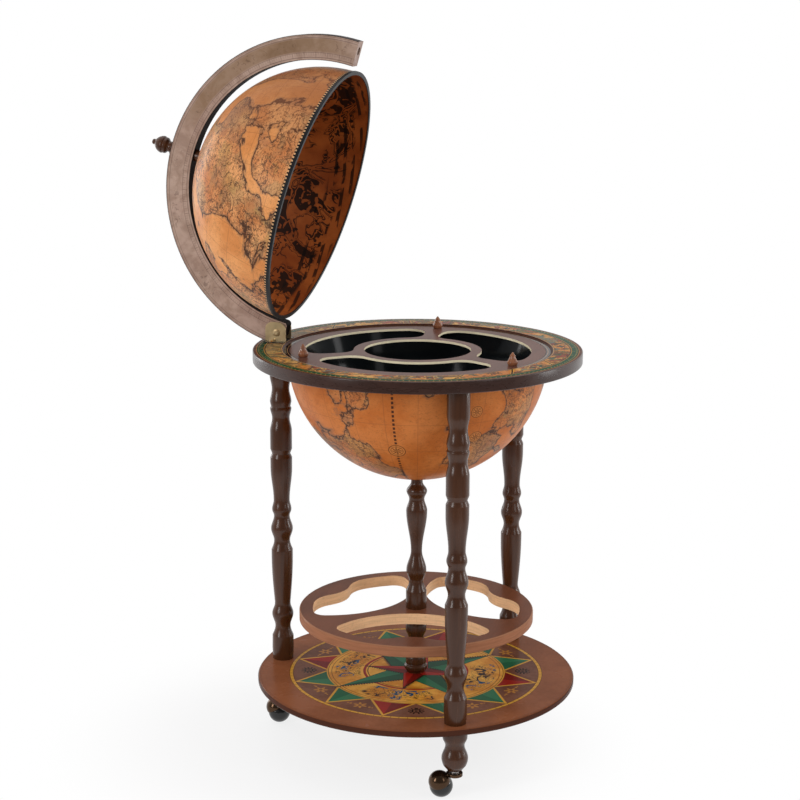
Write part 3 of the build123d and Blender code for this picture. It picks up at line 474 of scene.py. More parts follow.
def board(name, face, rim, cut, wear_and_highlight, reach, coat):
    """Stained board: one colour on its faces, one on the outer edge, bare cut walls inside
    reach mm from the middle, and a highlight painted along its rounded outer edges."""
    g = Graph(name, Coat_Weight=coat, Coat_Roughness=0.1, Specular_IOR_Level=0.02)
    level = facing(g, 2)
    outside = step(polar(g)[0], (reach - 0.5) * MM, (reach + 0.5) * MM)
    broad = noise(moved(g.at, (1, 0.35, 1)), 14, 4, 0.6, 0.4)
    pores = noise(moved(g.at, (3, 0.3, 1)), 170, 4, 0.65)
    layers = noise(moved(g.at, (1, 1, 14)), 26, 4, 0.6)
    tone = step(broad * 0.7 + pores * 0.3, 0.36, 0.64)
    stained = mix(tone, toned(face, 0.84), toned(face, 1.16))
    outer = mix(step(layers, 0.36, 0.64), toned(rim, 0.9), toned(rim, 1.1))
    bare = mix(step(layers, 0.34, 0.66), toned(cut, 0.88), toned(cut, 1.06))
    bare = lay(bare, step(pores, 0.54, 0.66), toned(cut, 0.6), 0.3)
    color = mix(step(level, 0.62, 0.8), mix(outside, bare, outer), stained)
    # painted highlight: a lighter line along the rounded edges outside reach
    color = lay(color, band(level, 0.45, 0.88, 0.1) * outside, wear_and_highlight, 0.4)
    rough = 0.3 + (1 - step(level, 0.5, 0.8)) * 0.14
    return g.done(color, rough, broad + pores, 0.01, 0.0004)


def liner_gloss():
    """Glossy black bowl, with a thin gold line printed round its brown flange, and a dark
    line of painted shade near the flange's outer edge, by the gap to the ring.
    """
    g = Graph("liner_gloss", Specular_IOR_Level=0.05)
    r, _ = polar(g)
    spots = noise(g.at, 60, 4, 0.6)
    color = mix(spots, (0.004, 0.005, 0.006), (0.008, 0.010, 0.011))
    color = lay(color, step(r, 0.1965, 0.1969), srgb(60, 38, 32))
    color = lay(color, line(r, 0.1990, 0.0004, 0.0003), srgb(178, 138, 98))
    # painted shade: a dark line near the outer edge of the flange, where it meets the gap to the
    # ring
    color = lay(color, line(r, 0.2020, 0.0006, 0.0003), srgb(30, 20, 18))
    return g.done(color, 0.08 + spots * 0.08, noise(g.at, 700, 3, 0.6), 0.01, 0.0003)


# ---------------------------------------------------------------- printed finishes, in metres
def base_print():
    """Brown board with a traditional compass rose."""
    g = Graph("base_print", Specular_IOR_Level=0.02)
    gold, ink = srgb(204, 148, 56), srgb(34, 20, 14)
    red, dark_red = srgb(146, 32, 22), srgb(112, 24, 18)
    rose_edge, ring_inner, ring_outer = 0.1945, 0.1948, 0.2
    point_foot, disc_edge, points_reach, points_slope = 0.138, 0.1385, 0.1962, 0.60
    r, a = polar(g)
    blot = noise(g.at, 9, 4, 0.6)
    tone = blot * 0.75 + noise(g.at, 150, 4, 0.65) * 0.25
    color = mix(step(tone, 0.36, 0.64), srgb(126, 73, 45), srgb(145, 88, 57))
    color = lay(color, step(r, 0.242, 0.2495), srgb(84, 48, 34), 0.4)
    # ground of the rose
    field = mix(step(tone, 0.4, 0.6), srgb(102, 63, 46), srgb(122, 79, 60))
    color = lay(color, below(r, rose_edge, 0.0004), field)
    # between the outer points, dark suns (four) and gold flowers with buds (eight)
    gap = wedge(a, 12, 15)
    u, w = r * sine(gap), r * cosine(gap) - 0.170
    from_middle, about = hyp(u, w), arctan2(w, u)
    petals = cosine(about * 6.0) * 0.0034 + 0.0082 - from_middle
    flower = step(petals, 0.0, 0.0005) * step(from_middle, 0.0026, 0.0031)
    for place, size in ((0.0165, 0.0019), (0.0215, 0.0013)):
        flower = maximum(flower, below(hyp(u - place, w), size, 0.0004))
    rays = band(from_middle, 0.0076, 0.0126, 0.0004) * step(sine(about * 12.0), 0.0, 0.3)
    sun = maximum(rays, line(from_middle, 0.0060, 0.0012, 0.0003),
                  below(from_middle, 0.0022, 0.0004))
    is_sun = below(wedge(a, 4, 15), 0.2, 0.02)
    color = lay(color, (1 - is_sun) * flower, srgb(186, 126, 54), 0.75)
    color = lay(color, is_sun * sun, ink)
    # twelve outer points: gold outline, green or red inside
    part = wedge(a, 12)
    side = r * sine(part)
    half = (points_reach - r * cosine(part)) * points_slope
    outline = step(r, point_foot, point_foot + 0.0006) * step(half - side, -0.0002, 0.0002)
    color = lay(color, outline, gold)
    is_red = below(wedge(a, 4), 0.24, 0.02)
    shade = step(sine((a + FULL_TURNS) * 12.0), -0.05, 0.05)
    green = mix(shade, srgb(38, 94, 64), srgb(50, 110, 76))
    fill = mix(is_red, green, mix(shade, red, dark_red))
    inside = step(r, 0.1412, 0.1418) * step(half - 0.0040 - side, -0.0002, 0.0002)
    color = lay(color, inside, fill)
    # gold ring with ticks, and the aged disc
    color = lay(color, band(r, ring_inner, ring_outer, 0.0002), gold)
    ticks = band(r, 0.1954, 0.1996, 0.0002) * (wedge(a, 96) < 0.0038)
    color = lay(color, ticks, srgb(92, 52, 30), 0.6)
    edges = maximum(*(line(r, place, 0.0003, 0.0002) for place in (0.1946, 0.2001)))
    color = lay(color, edges, ink)
    aged = mix(step(noise(g.at, 24, 5, 0.65), 0.38, 0.62), srgb(198, 128, 42), srgb(226, 168, 70))
    color = lay(color, below(r, disc_edge, 0.0005), aged)
    color = lay(color, line(r, disc_edge + 0.0003, 0.0004, 0.0002), ink)
    color = lay(color, line(r, 0.1335, 0.0006, 0.0003), srgb(110, 60, 28), 0.85)
    # inked leafwork in four parts of the disc, between the long points
    place = band(r, 0.0880, 0.1280, 0.0015) * below(wedge(a, 4), 0.46, 0.08)
    swirl = noise(moved(g.at, shift=(0.3, 0.1, 0)), 60, 2, 0.5, 1.6)
    leafwork = mix(step(noise(g.at, 16, 2, 0.5), 0.50, 0.54), srgb(46, 30, 20), srgb(34, 74, 104))
    color = lay(color, step(swirl, 0.565, 0.58) * place, leafwork)
    for level in (0.51, 0.44):
        color = lay(color, below(abs(swirl - level), 0.009, 0.005) * place, ink, 0.85)
    color = lay(color, line(r, 0.0815, 0.0022, 0.0004), srgb(140, 34, 26))
    color = lay(color, line(r, 0.0762, 0.0007, 0.0002), ink)
    # long green points and short red ones, with a hatched shadow along one side
    for turn, reach, width, light, dark in (
        (45, 0.1335, 0.235, srgb(44, 108, 76), srgb(28, 78, 54)),
        (0, 0.076, 0.26, srgb(160, 38, 28), dark_red),
    ):
        near = wedge(a, 4, turn)
        along = r * cosine(near)
        edge = (reach - along) * width - r * sine(near)
        shaded = step(sine((a + (FULL_TURNS - radians(turn))) * 4.0), -0.05, 0.05)
        hatch = sine(along * 1500.0) * 0.0018 - 0.0042
        color = lay(color, shaded * step(edge - hatch, 0.0, 0.0008), srgb(50, 34, 22))
        color = lay(color, step(edge, -0.0012, -0.0008), ink)
        color = lay(color, step(edge, -0.0002, 0.0002), mix(shaded, light, dark))
    wear_and_highlight = noise(g.at, 260, 4, 0.7)
    worn = step(wear_and_highlight, 0.6, 0.72) * below(r, ring_outer, 0.0006)
    color = lay(color, worn, srgb(104, 62, 40), 0.25)
    # the rim and the underside are plain brown
    top = step(split(g.at)[2], (BASE_TOP - 1.2) * MM, (BASE_TOP - 0.6) * MM)
    color = mix(top, srgb(76, 45, 34), color)
    return g.done(color, 0.2 + blot * 0.12, blot + wear_and_highlight * 0.3, 0.02, 0.0005)


def old_map(unit, seed, seas, lands, coast):
    """(colour, fine noise) of an old map without words, by unit direction.

    Land is where the land noise is over coast.
    """
    v = moved(unit, shift=seed)
    height = split(v)[2]
    ink = srgb(66, 44, 34)
    land = noise(v, 1.9, 6, 0.50, 0.35)
    fine = noise(v, 26, 5, 0.65, 0.4)
    tone = noise(v, 3.4, 4, 0.6)
    sea = mix(step(tone, 0.36, 0.66), *seas)
    ground = mix(step(tone, 0.40, 0.60), *lands)
    for shift, size, low, share, tint in (
        ((0, 0, 0), 2.6, 0.50, 0.375, srgb(150, 130, 92)),
        ((5, 2, 1), 3.2, 0.55, 0.3, srgb(196, 112, 66)),
        ((2, 8, 6), 4.1, 0.58, 0.35, srgb(160, 136, 78)),
        ((9, 1, 4), 3.0, 0.57, 0.3, srgb(142, 104, 84)),
    ):
        patch = step(noise(moved(v, shift=shift), size, 4, 0.6), low, low + 0.05)
        ground = lay(ground, patch, tint, share)
    is_land = step(land, coast - 0.0025, coast + 0.0025)
    color = mix(is_land, sea, ground)
    # coast: a dark line, with a hatched grey band out to sea
    from_shore = abs(land - coast)
    strokes = step(sine(height * 260.0), -0.2, 0.5)
    shallows = below(from_shore, 0.002, 0.024) * (0.42 + strokes * 0.3)
    color = lay(color, shallows, srgb(104, 88, 74))
    color = lay(color, below(from_shore, 0.0034, 0.0032), ink, 0.92)
    # rivers and borders on land
    for shift, size, half, share in (((2, 7, 4), 4.2, 0.006, 0.85), ((6, 3, 9), 5.6, 0.005, 0.65)):
        path = abs(noise(moved(v, shift=shift), size, 7, 0.6, 0.3) - 0.5)
        color = lay(color, is_land * below(path, half, 0.005), srgb(84, 62, 50), share)
    # hills: small arcs over scattered points
    hill_scale = 36.0
    distance, point = voronoi(v, hill_scale)
    rise = (height - split(point)[2]) * hill_scale
    arc = (line(distance, 0.27, 0.06, 0.05) * step(rise, 0.0, 0.08)
           * step(noise(v, 6.5, 3, 0.6), 0.47, 0.52) * is_land)
    color = lay(color, arc, ink, 0.85)
    # stipple at two sizes, and broken strokes, stronger on land
    stretched = moved(v, (1, 1, 1.8), (4, 4, 4))
    for size, low, share, shift in ((40, 0.62, 0.7, (1, 9, 3)), (70, 0.61, 0.65, (7, 2, 2)),
                                    (20, None, 0.7, (3, 5, 8))):
        speck = noise(stretched, size, 2, 0.5, 0.6)
        speck = step(speck, low, low + 0.02) if low else below(abs(speck - 0.5), 0.008, 0.010)
        where = step(noise(moved(v, shift=shift), 6, 3, 0.6), 0.44, 0.50)
        color = lay(color, speck * where * (0.3 + is_land * 0.7), srgb(88, 56, 40), share)
    # age
    color = lay(color, step(noise(v, 13, 6, 0.7), 0.5, 0.75), srgb(142, 82, 44), 0.22)
    color = lay(color, step(fine, 0.52, 0.7), srgb(150, 90, 54), 0.16)
    return color, fine


def rose_at(color, unit, lat, lon, size, ink):
    """A small wind rose: pale disc, two rings and an eight-pointed star, inked on the globe."""
    la, lo = radians(lat), radians(lon)
    out = Vector((cos(la) * cos(lo), cos(la) * sin(lo), sin(la)))
    east = Vector((-sin(lo), cos(lo), 0))
    u, v, w = (dot(unit, axis) for axis in (east, out.cross(east), out))
    r, a = hyp(u, v), arctan2(v, u)
    front = step(w, 0.2, 0.3)
    near = wedge(a, 8)
    tip = (size * 0.95 - r * cosine(near)) * 0.3
    star = step(tip - r * sine(near), 0.0, size * 0.04) * step(sine(a * 8.0), -0.1, 0.1)
    rings = calc("ADD", line(r, size, size * 0.05, size * 0.03),
                 line(r, size * 0.74, size * 0.03, size * 0.03), clamp=True)
    disc = below(r, size, size * 0.05) * front
    color = lay(color, disc, srgb(206, 130, 68), 0.75)
    return lay(color, calc("ADD", rings, star, clamp=True) * front, ink, 0.85)


def globe_print(name, centre, seed, seas, lands, coast, roses=()):
    """A globe half with its map: the lower one with wind roses and a row of beads down its
    front, the upper one, without roses, with a toothed border at its mouth."""
    g = Graph(name, Coat_Weight=0.03, Coat_Roughness=0.16, Specular_IOR_Level=0.08)
    unit, lat, lon = sphere_axes(g, centre)
    color, fine = old_map(unit, seed, seas, lands, coast)
    ink = srgb(46, 32, 26)
    # lines of latitude and longitude, every 15 degrees
    circles = abs((lat + FULL_TURNS) % (pi / 12) - pi / 24) < 0.0026
    meridians = wedge(lon, 24) * cosine(lat) < 0.0026
    color = lay(color, maximum(circles, meridians), srgb(128, 74, 46), 0.35)
    if roses:
        beads = ((wedge(lon, 1, -86) * cosine(lat) < 0.009)
                 * ((lat + FULL_TURNS) % 0.036 < 0.022))
        color = lay(color, beads, ink, 0.9)
        for lat_deg, lon_deg, size in roses:
            color = rose_at(color, unit, lat_deg, lon_deg, size, ink)
    else:
        color = lay(color, step(split(unit)[0], 0.25, 0.9), srgb(130, 74, 42), 0.55)
        height = lat * (UPPER_RADIUS * MM)
        border, tooth_tip, teeth = 0.0046, 0.0072, 230
        comb = below(height, tooth_tip, 0.0004) * (wedge(lon, teeth) < pi / (2 * teeth))
        pale = band(height, border, tooth_tip, 0.0003)
        color = lay(color, pale, srgb(226, 186, 140), 0.6)
        color = lay(color, maximum(below(height, border, 0.0004), comb), srgb(26, 23, 24))
    return g.done(color, 0.34 + fine * 0.16, fine, 0.03, 0.0004)


def inside_print(centre):
    """Orange-brown inside of the lid, with bold woodcut-like ornament in black."""
    g = Graph("globe_inside_print", Specular_IOR_Level=0.12)
    unit, lat, lon = sphere_axes(g, centre)
    ink = srgb(24, 14, 10)
    tone = noise(unit, 2.6, 4, 0.6)
    color = mix(step(tone, 0.35, 0.65), srgb(146, 70, 26), srgb(176, 94, 40))
    color = lay(color, step(noise(unit, 9, 5, 0.65), 0.5, 0.7), srgb(112, 52, 22), 0.35)
    # bold shapes with cuts in them, and broken contours round them
    swirl = noise(moved(unit, shift=(2, 1, 4)), 2.3, 3, 0.5, 1.5)
    zone = step(lat, 0.10, 0.13)
    cuts = step(noise(moved(unit, shift=(1, 5, 2)), 12, 2, 0.5, 1.2), 0.55, 0.58)
    bold = step(swirl, 0.565, 0.572) * zone
    color = lay(color, bold * (1 - cuts * 0.8), ink, 0.93)
    broken = step(noise(unit, 3.4, 2, 0.5), 0.42, 0.45)
    for level, half in ((0.535, 0.0075), (0.505, 0.005), (0.44, 0.0075), (0.415, 0.005)):
        contour = below(abs(swirl - level), half, 0.003) * zone * broken
        color = lay(color, contour, ink, 0.9)
    # sprigs
    leaf, _ = voronoi(moved(unit, shift=(3, 3, 0)), 7.5)
    sprig = (below(leaf, 0.20, 0.02) * step(noise(unit, 20, 2, 0.5), 0.46, 0.49) * zone
             * step(noise(moved(unit, shift=(7, 1, 1)), 2.4, 2, 0.5), 0.50, 0.53))
    color = lay(color, sprig, ink, 0.9)
    # long strokes near the rim, as in the border of an old print
    strokes = (band(lat, 0.03, 0.24, 0.02) * step(sine(lat * 90.0 + lon * 14.0), 0.1, 0.5)
               * step(noise(moved(unit, (1, 1, 3)), 5, 3, 0.6), 0.47, 0.52))
    color = lay(color, strokes, ink, 0.85)
    return g.done(color, 0.42 + tone * 0.12, noise(unit, 60, 3, 0.6), 0.03, 0.0004)


def ring_print():
    """Top of the horizon ring: panels with ornament, green band and brown border."""
    g = Graph("ring_print", Specular_IOR_Level=0.012)
    ink, gold = srgb(36, 24, 18), srgb(210, 160, 76)
    panel_middle, panel_inner, band_inner, border_inner = 0.2208, 0.2092, 0.2336, 0.2446
    r, a = polar(g)
    v = moved(g.at, (5.2, 5.2, 5.2))
    tone = noise(v, 3.4, 5, 0.62)
    zone = mix(step(tone, 0.42, 0.58), srgb(194, 118, 50), srgb(216, 162, 82))
    for shift, size, low, tint in (
        ((0, 0, 0), 6.2, 0.55, srgb(76, 50, 32)), ((3, 1, 2), 5, 0.57, srgb(44, 84, 56)),
        ((8, 4, 2), 5, 0.57, srgb(140, 48, 32)), ((1, 6, 7), 4.4, 0.58, srgb(96, 108, 96)),
    ):
        patch = noise(moved(v, shift=shift), size, 5, 0.6, 1.4)
        zone = lay(zone, step(patch, low, low + 0.02), tint, 0.85)
        zone = lay(zone, below(abs(patch - low), 0.007, 0.006), ink, 0.8)
    # sixteen panels parted by slanting bars; every other one holds a flower
    bar = wedge(a + (r - 0.22) * 4.0, 16, 8) * r
    zone = lay(zone, below(bar, 0.0011, 0.0005), ink)
    zone = lay(zone, band(bar, 0.0018, 0.0030, 0.0003), gold)
    gap = wedge(a, 8, 19.2)
    u, w = r * sine(gap), r * cosine(gap) - panel_middle
    from_middle = hyp(u, w)
    flower = (0.72 + cosine(arctan2(w, u) * 6.0) * 0.28) * 0.0098 - from_middle
    for low, tint in ((-0.0034, srgb(214, 164, 84)), (-0.0010, ink), (0.0004, srgb(120, 52, 36))):
        zone = lay(zone, step(flower, low, low + 0.0004), tint)
    zone = lay(zone, below(from_middle, 0.0030, 0.0005), srgb(52, 84, 60))
    # the far side, by the hinge, is printed as a grey-green sea
    sea = mix(step(tone, 0.4, 0.6), srgb(98, 92, 66), srgb(132, 112, 76))
    zone = lay(zone, below(split(g.at)[0], -0.215, 0.05), sea, 0.62)
    color = mix(step(r, panel_inner, panel_inner + 0.0004), srgb(70, 42, 34), zone)
    color = lay(color, line(r, 0.2078, 0.0007, 0.0002), srgb(190, 146, 98))
    # green band with leaves, ticks and blooms
    leaves = step(noise(moved(g.at, shift=(1, 2, 3)), 90, 4, 0.6, 1.0), 0.5, 0.56)
    green = mix(leaves * 0.5, srgb(18, 66, 38), srgb(34, 92, 54))
    ticks = band(r, 0.2418, 0.2440, 0.0002) * (wedge(a, 180) * r < 0.0009)
    green = lay(green, ticks, srgb(196, 160, 90))
    bloom = hyp(wedge(a, 48, 2) * r, r - 0.2380)
    green = lay(green, below(bloom, 0.0012, 0.0004), srgb(140, 104, 52))
    color = lay(color, step(r, band_inner, band_inner + 0.0004), green)
    color = lay(color, line(r, 0.2334, 0.0008, 0.0002), ink)
    color = lay(color, line(r, 0.2347, 0.0006, 0.0002), srgb(186, 132, 60))
    # border
    grain = noise(moved(g.at, (1, 1, 3)), 70, 5, 0.6, 0.6)
    border = mix(step(grain, 0.35, 0.65), srgb(84, 50, 38), srgb(102, 64, 48))
    color = lay(color, step(r, border_inner, border_inner + 0.0004), border)
    color = lay(color, line(r, 0.2452, 0.0006, 0.0002), ink)
    color = lay(color, line(r, 0.2464, 0.0005, 0.0002), srgb(176, 126, 66))
    color = lay(color, below(r, 0.2044, 0.0004), srgb(92, 62, 48))
    return g.done(color, 0.2 + grain * 0.14, grain, 0.02, 0.0005)


def meridian_print():
    """Meridian: taupe printed wood with black edges and a faint degree scale, no figures."""
    g = Graph("meridian_print", Specular_IOR_Level=0.01)
    ink = srgb(82, 62, 56)
    # coordinates of the shut meridian, from the middle of its arc
    back = OPEN.inverted()
    shut = moved(g.at, shift=back.translation, turn=back.to_euler())
    shut = moved(shut, shift=(0, 0, -ARC_CENTRE * MM))
    x, _, z = split(shut)
    r, a = hyp(x, z), arctan2(z, x)
    grain = noise(shut, 46, 6, 0.65, 0.5)
    color = mix(step(grain, 0.36, 0.64), srgb(158, 133, 118), srgb(184, 159, 144))
    cloud = step(noise(shut, 12, 4, 0.6), 0.40, 0.70)
    color = lay(color, cloud, srgb(148, 114, 108), 0.22)
    # browner towards the free end
    near_end = band(a, 0.05, 1.35, 0.15) * band(r, 0.216, 0.236, 0.002)
    color = lay(color, near_end, srgb(132, 104, 74), 0.62)
    warm = step(noise(moved(shut, shift=(1, 4, 2)), 7, 4, 0.6), 0.52, 0.60)
    color = lay(color, warm * near_end, srgb(112, 84, 58), 0.4)
    # lines, and ticks at each degree and at each five
    for place, half, share in ((0.2078, 0.0005, 0.6), (0.2150, 0.0004, 0.5),
                               (0.2368, 0.0006, 0.45), (0.2396, 0.0004, 0.5)):
        color = lay(color, line(r, place, half, 0.0003), ink, share)
    for turns, low, half, share in ((360, 0.2108, 0.0006, 0.16), (72, 0.2078, 0.0007, 0.24)):
        ticks = band(r, low, 0.2150, 0.0002) * (wedge(a, turns) * r < half)
        color = lay(color, ticks, ink, share)
    marks = (band(r, 0.219, 0.234, 0.001) * step(noise(shut, 150, 3, 0.6, 1.0), 0.58, 0.64)
             * step(noise(shut, 18, 2, 0.5), 0.48, 0.54))
    color = lay(color, marks, ink, 0.4)
    # bare free end, black edges, greyer on the outer one
    end = below(z, (0.3 - MERIDIAN_TAIL) * MM, 0.0002) * step(x, 0, 0.01)
    color = lay(color, end, mix(step(grain, 0.36, 0.64), srgb(166, 142, 132), srgb(186, 164, 154)))
    edge = maximum(step(r, 0.2407, 0.2414), below(r, 0.2044, 0.0006),
                   1 - step(facing(g, 1), 0.4, 0.6))
    color = lay(color, edge * (1 - end), srgb(22, 15, 14))
    color = lay(color, step(r, 0.2412, 0.2418) * 0.5 * (1 - end), srgb(92, 84, 82))
    return g.done(color, 0.38 + grain * 0.14, grain, 0.03, 0.0004)


# ---------------------------------------------------------------- the finishes
DARK_WOOD = wood("dark_turned_wood", srgb(60, 32, 16), srgb(70, 39, 20), srgb(82, 48, 28))
# the fourth colour given to each board is the highlight painted along its rounded outer edges
SHELF = board("shelf_board", srgb(116, 70, 48), srgb(156, 104, 76), srgb(240, 196, 152),
              srgb(186, 138, 106), SHELF_REACH, coat=0.02)
TRAY = board("tray_board", srgb(104, 68, 56), srgb(110, 72, 60), srgb(255, 242, 208),
             srgb(200, 170, 140), TRAY_REACH, coat=0.07)
KNOB_WOOD = wood("knob_wood", srgb(112, 68, 46), srgb(140, 88, 60), srgb(166, 112, 80),
                 scale=220, gloss=0.12, coat=0.3)
DOWEL_WOOD = wood("dowel_wood", srgb(150, 108, 70), srgb(180, 138, 96), srgb(204, 164, 120))
LINER = liner_gloss()
RIM_BLACK = plain("rim_black", srgb(30, 31, 34), 0.42, Specular_IOR_Level=0.15)
GLOBE_LOWER = globe_print(
    "globe_lower_print", GLOBE_CENTRE, seed=(6.4, 0.7, 9.1), coast=0.535,
    seas=(srgb(188, 104, 46), srgb(204, 122, 62)), lands=(srgb(188, 112, 60), srgb(208, 134, 78)),
    roses=((-37.4, -86.0, 0.062), (-30.3, -45.9, 0.05), (-17.1, -48.4, 0.045)))
GLOBE_UPPER = globe_print(
    "globe_upper_print", RIM_PLANE, seed=(7.1, 2.4, 5.3), coast=0.48,
    seas=(srgb(212, 136, 76), srgb(232, 160, 98)), lands=(srgb(202, 130, 78), srgb(226, 160, 104)))
INSIDE = inside_print(RIM_PLANE)
RING = ring_print()
RING_SIDE = wood("ring_side", srgb(48, 28, 21), srgb(54, 32, 25), srgb(62, 38, 30),
                 along=(1, 1, 3), scale=60, gloss=0.22, bump=0.0)
BASE = base_print()
MERIDIAN = meridian_print()
STEEL = plain("steel", (0.5, 0.5, 0.5), 0.3, Metallic=1.0)
BRASS = plain("brass", srgb(196, 172, 130), 0.36, Metallic=0.75)
BRIGHT_BRASS = plain("bright_brass", srgb(206, 182, 134), 0.24, Metallic=0.9)
# painted shade: the hinge plate is near black, standing for the shade beneath the hinge cheeks
PLATE_SHADE_BLACK = plain("black_metal", (0.01, 0.01, 0.01), 0.35)
PLUG = plain("plug", (0.012, 0.008, 0.007), 0.5)
BRONZE = plain("bronze_hood", srgb(78, 58, 42), 0.2, Metallic=0.9)
BALL = plain("ball_black", (0.008, 0.008, 0.008), 0.2)

# ---------------------------------------------------------------- carried-over CAD nodes
for material, nodes in (
    (BASE, ("base_disc",)), (SHELF, ("bottle_shelf",)), (TRAY, ("tray_plate",)),
    (MERIDIAN, ("meridian",)), (LINER, ("globe_liner",)), (DOWEL_WOOD, ("leg_dowels",)),
    # the hinge plate is painted near black as the shade under the cheeks
    (PLATE_SHADE_BLACK, ("hinge_plate",)), (BRIGHT_BRASS, ("hinge_screws",)),
    (PLUG, ("meridian_end_plug",)), (RIM_BLACK, ("globe_rim_trim",)),
    (BRASS, ("hinge_cheek_front", "hinge_cheek_rear", "hinge_pin", "hinge_bush")),
    (STEEL, ("foot_studs", "tie_rod", "tie_rod_nuts", "tray_screws", "hinge_pin_nut",
             "pole_screw", "caster_sockets")),
    (STEEL, [f"caster_{part}_{place}" for part in ("stem", "axle") for place in PLACES]),
):
    for node in nodes:
        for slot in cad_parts[node].material_slots:
            slot.material = material

# ---------------------------------------------------------------- turned wood
for place, angle in zip(PLACES, LEG_ANGLES):
    turned_piece(f"leg_{place}_turned", spindle(LEG_PATTERN, RING_BOTTOM, 0, 0, 0.5),
                 DARK_WOOD, "stand", f"leg_{place}", [at_leg(angle)])
profile = [(FOOT_BORE, BASE_BOTTOM), *spindle_points(FOOT_PATTERN, BASE_BOTTOM),
           (FOOT_BORE, CASTER_HEIGHT), (FOOT_BORE, CASTER_HEIGHT + FOOT_BORE_DEPTH)]
turned_piece("bun_feet_turned", eased(profile, 0.5), DARK_WOOD, "stand", "bun_feet",
             [at_leg(angle) for angle in LEG_ANGLES])
for name, pattern, top in (("column_upper", UPPER_COLUMN_PATTERN, GLOBE_CENTRE - GLOBE_RADIUS),
                           ("column_lower", LOWER_COLUMN_PATTERN, SHELF_BOTTOM)):
    turned_piece(f"{name}_turned", spindle(pattern, top, ROD_BORE, ROD_BORE, 0.4),
                 DARK_WOOD, "stand", name)
finial_top = ARC_CENTRE + MERIDIAN_OUTER + FINIAL_HEIGHT
turned_piece("finial_turned", spindle(FINIAL_PATTERN, finial_top, 0, ROD_BORE, 0.6),
             DARK_WOOD, "lid", "finial", world=OPEN)
low, high = RIM_PLANE + UPPER_RADIUS, ARC_CENTRE + MERIDIAN_INNER - SPACER_GAP
profile = [(ROD_BORE, low), (SPACER_RADIUS, low), (SPACER_RADIUS, high), (ROD_BORE, high)]
turned_piece("pole_spacer_turned", eased(profile, 0.6), DARK_WOOD, "lid", "pole_spacer",
             world=OPEN)
outward = Matrix.Translation((KNOB_CIRCLE * MM, 0, 0))
knob_places = [Matrix.Rotation(radians(angle), 4, "Z") @ outward for angle in KNOB_ANGLES]
turned_piece("tray_knobs_turned",
             spindle(KNOB_PATTERN, TRAY_TOP + KNOB_HEIGHT, 0, KNOB_SCREW_BORE, 0.6),
             KNOB_WOOD, "tray", "tray_knobs", knob_places, 48)

# ---------------------------------------------------------------- horizon ring
bm = bmesh.new()
profile = [(RING_BORE, FLANGE_BOTTOM), (REBATE_RADIUS, FLANGE_BOTTOM),
           (REBATE_RADIUS, RING_TOP - RING_CHAMFER), (REBATE_RADIUS + RING_CHAMFER, RING_TOP),
           (RING_RADIUS - RING_ROUND, RING_TOP)]
lathe(bm, profile, 192, sharp=30)
rim = [(RING_RADIUS - RING_ROUND + RING_ROUND * sin(radians(a)),
        RING_TOP - RING_ROUND + RING_ROUND * cos(radians(a))) for a in range(0, 91, 18)]
rim += [(radius, RING_TOP + RING_BOTTOM - height) for radius, height in reversed(rim)]
lathe(bm, rim + [(RING_BORE, RING_BOTTOM), (RING_BORE, FLANGE_BOTTOM)], 192, sharp=30, slot=1)
bmesh.ops.remove_doubles(bm, verts=bm.verts, dist=1e-6)
ring = mesh_object("horizon_ring_smooth", bm, RING, RING_SIDE)
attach(ring, "stand")
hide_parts("horizon_ring")

# ---------------------------------------------------------------- globe halves
inner = GLOBE_RADIUS - LOWER_WALL
start = degrees(asin((GLOBE_CENTRE - FLANGE_BOTTOM) / GLOBE_RADIUS))
profile = [(ROD_BORE, GLOBE_CENTRE - inner),
           *reversed(arc_points(inner, -start, -POLE_LATITUDE, 30, GLOBE_CENTRE)),
           (inner - 0.1, FLANGE_TOP), (FLANGE_RADIUS, FLANGE_TOP), (FLANGE_RADIUS, FLANGE_BOTTOM),
           *arc_points(GLOBE_RADIUS, -start, -POLE_LATITUDE, 60, GLOBE_CENTRE),
           (ROD_BORE, GLOBE_CENTRE - GLOBE_RADIUS)]
turned_piece("globe_lower_shell_smooth", profile, GLOBE_LOWER, "stand", "globe_lower_shell",
             segments=192, sharp=40)

bm = bmesh.new()
radii = (UPPER_RADIUS, UPPER_RADIUS - UPPER_WALL)
for slot, radius in enumerate(radii):
    mouth = degrees(asin(MOUTH_HEIGHT / radius))
    profile = [*arc_points(radius, mouth, POLE_LATITUDE, 60, RIM_PLANE),
               (ROD_BORE, RIM_PLANE + radius)]
    lathe(bm, profile, 192, sharp=60, slot=slot)
lathe(bm, [(radius, RIM_PLANE + MOUTH_HEIGHT) for radius in radii], 192, slot=1)
bmesh.ops.remove_doubles(bm, verts=bm.verts, dist=1e-6)
shell = mesh_object("globe_upper_shell_smooth", bm, GLOBE_UPPER, INSIDE)
shell.matrix_world = OPEN
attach(shell, "lid")
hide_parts("globe_upper_shell")

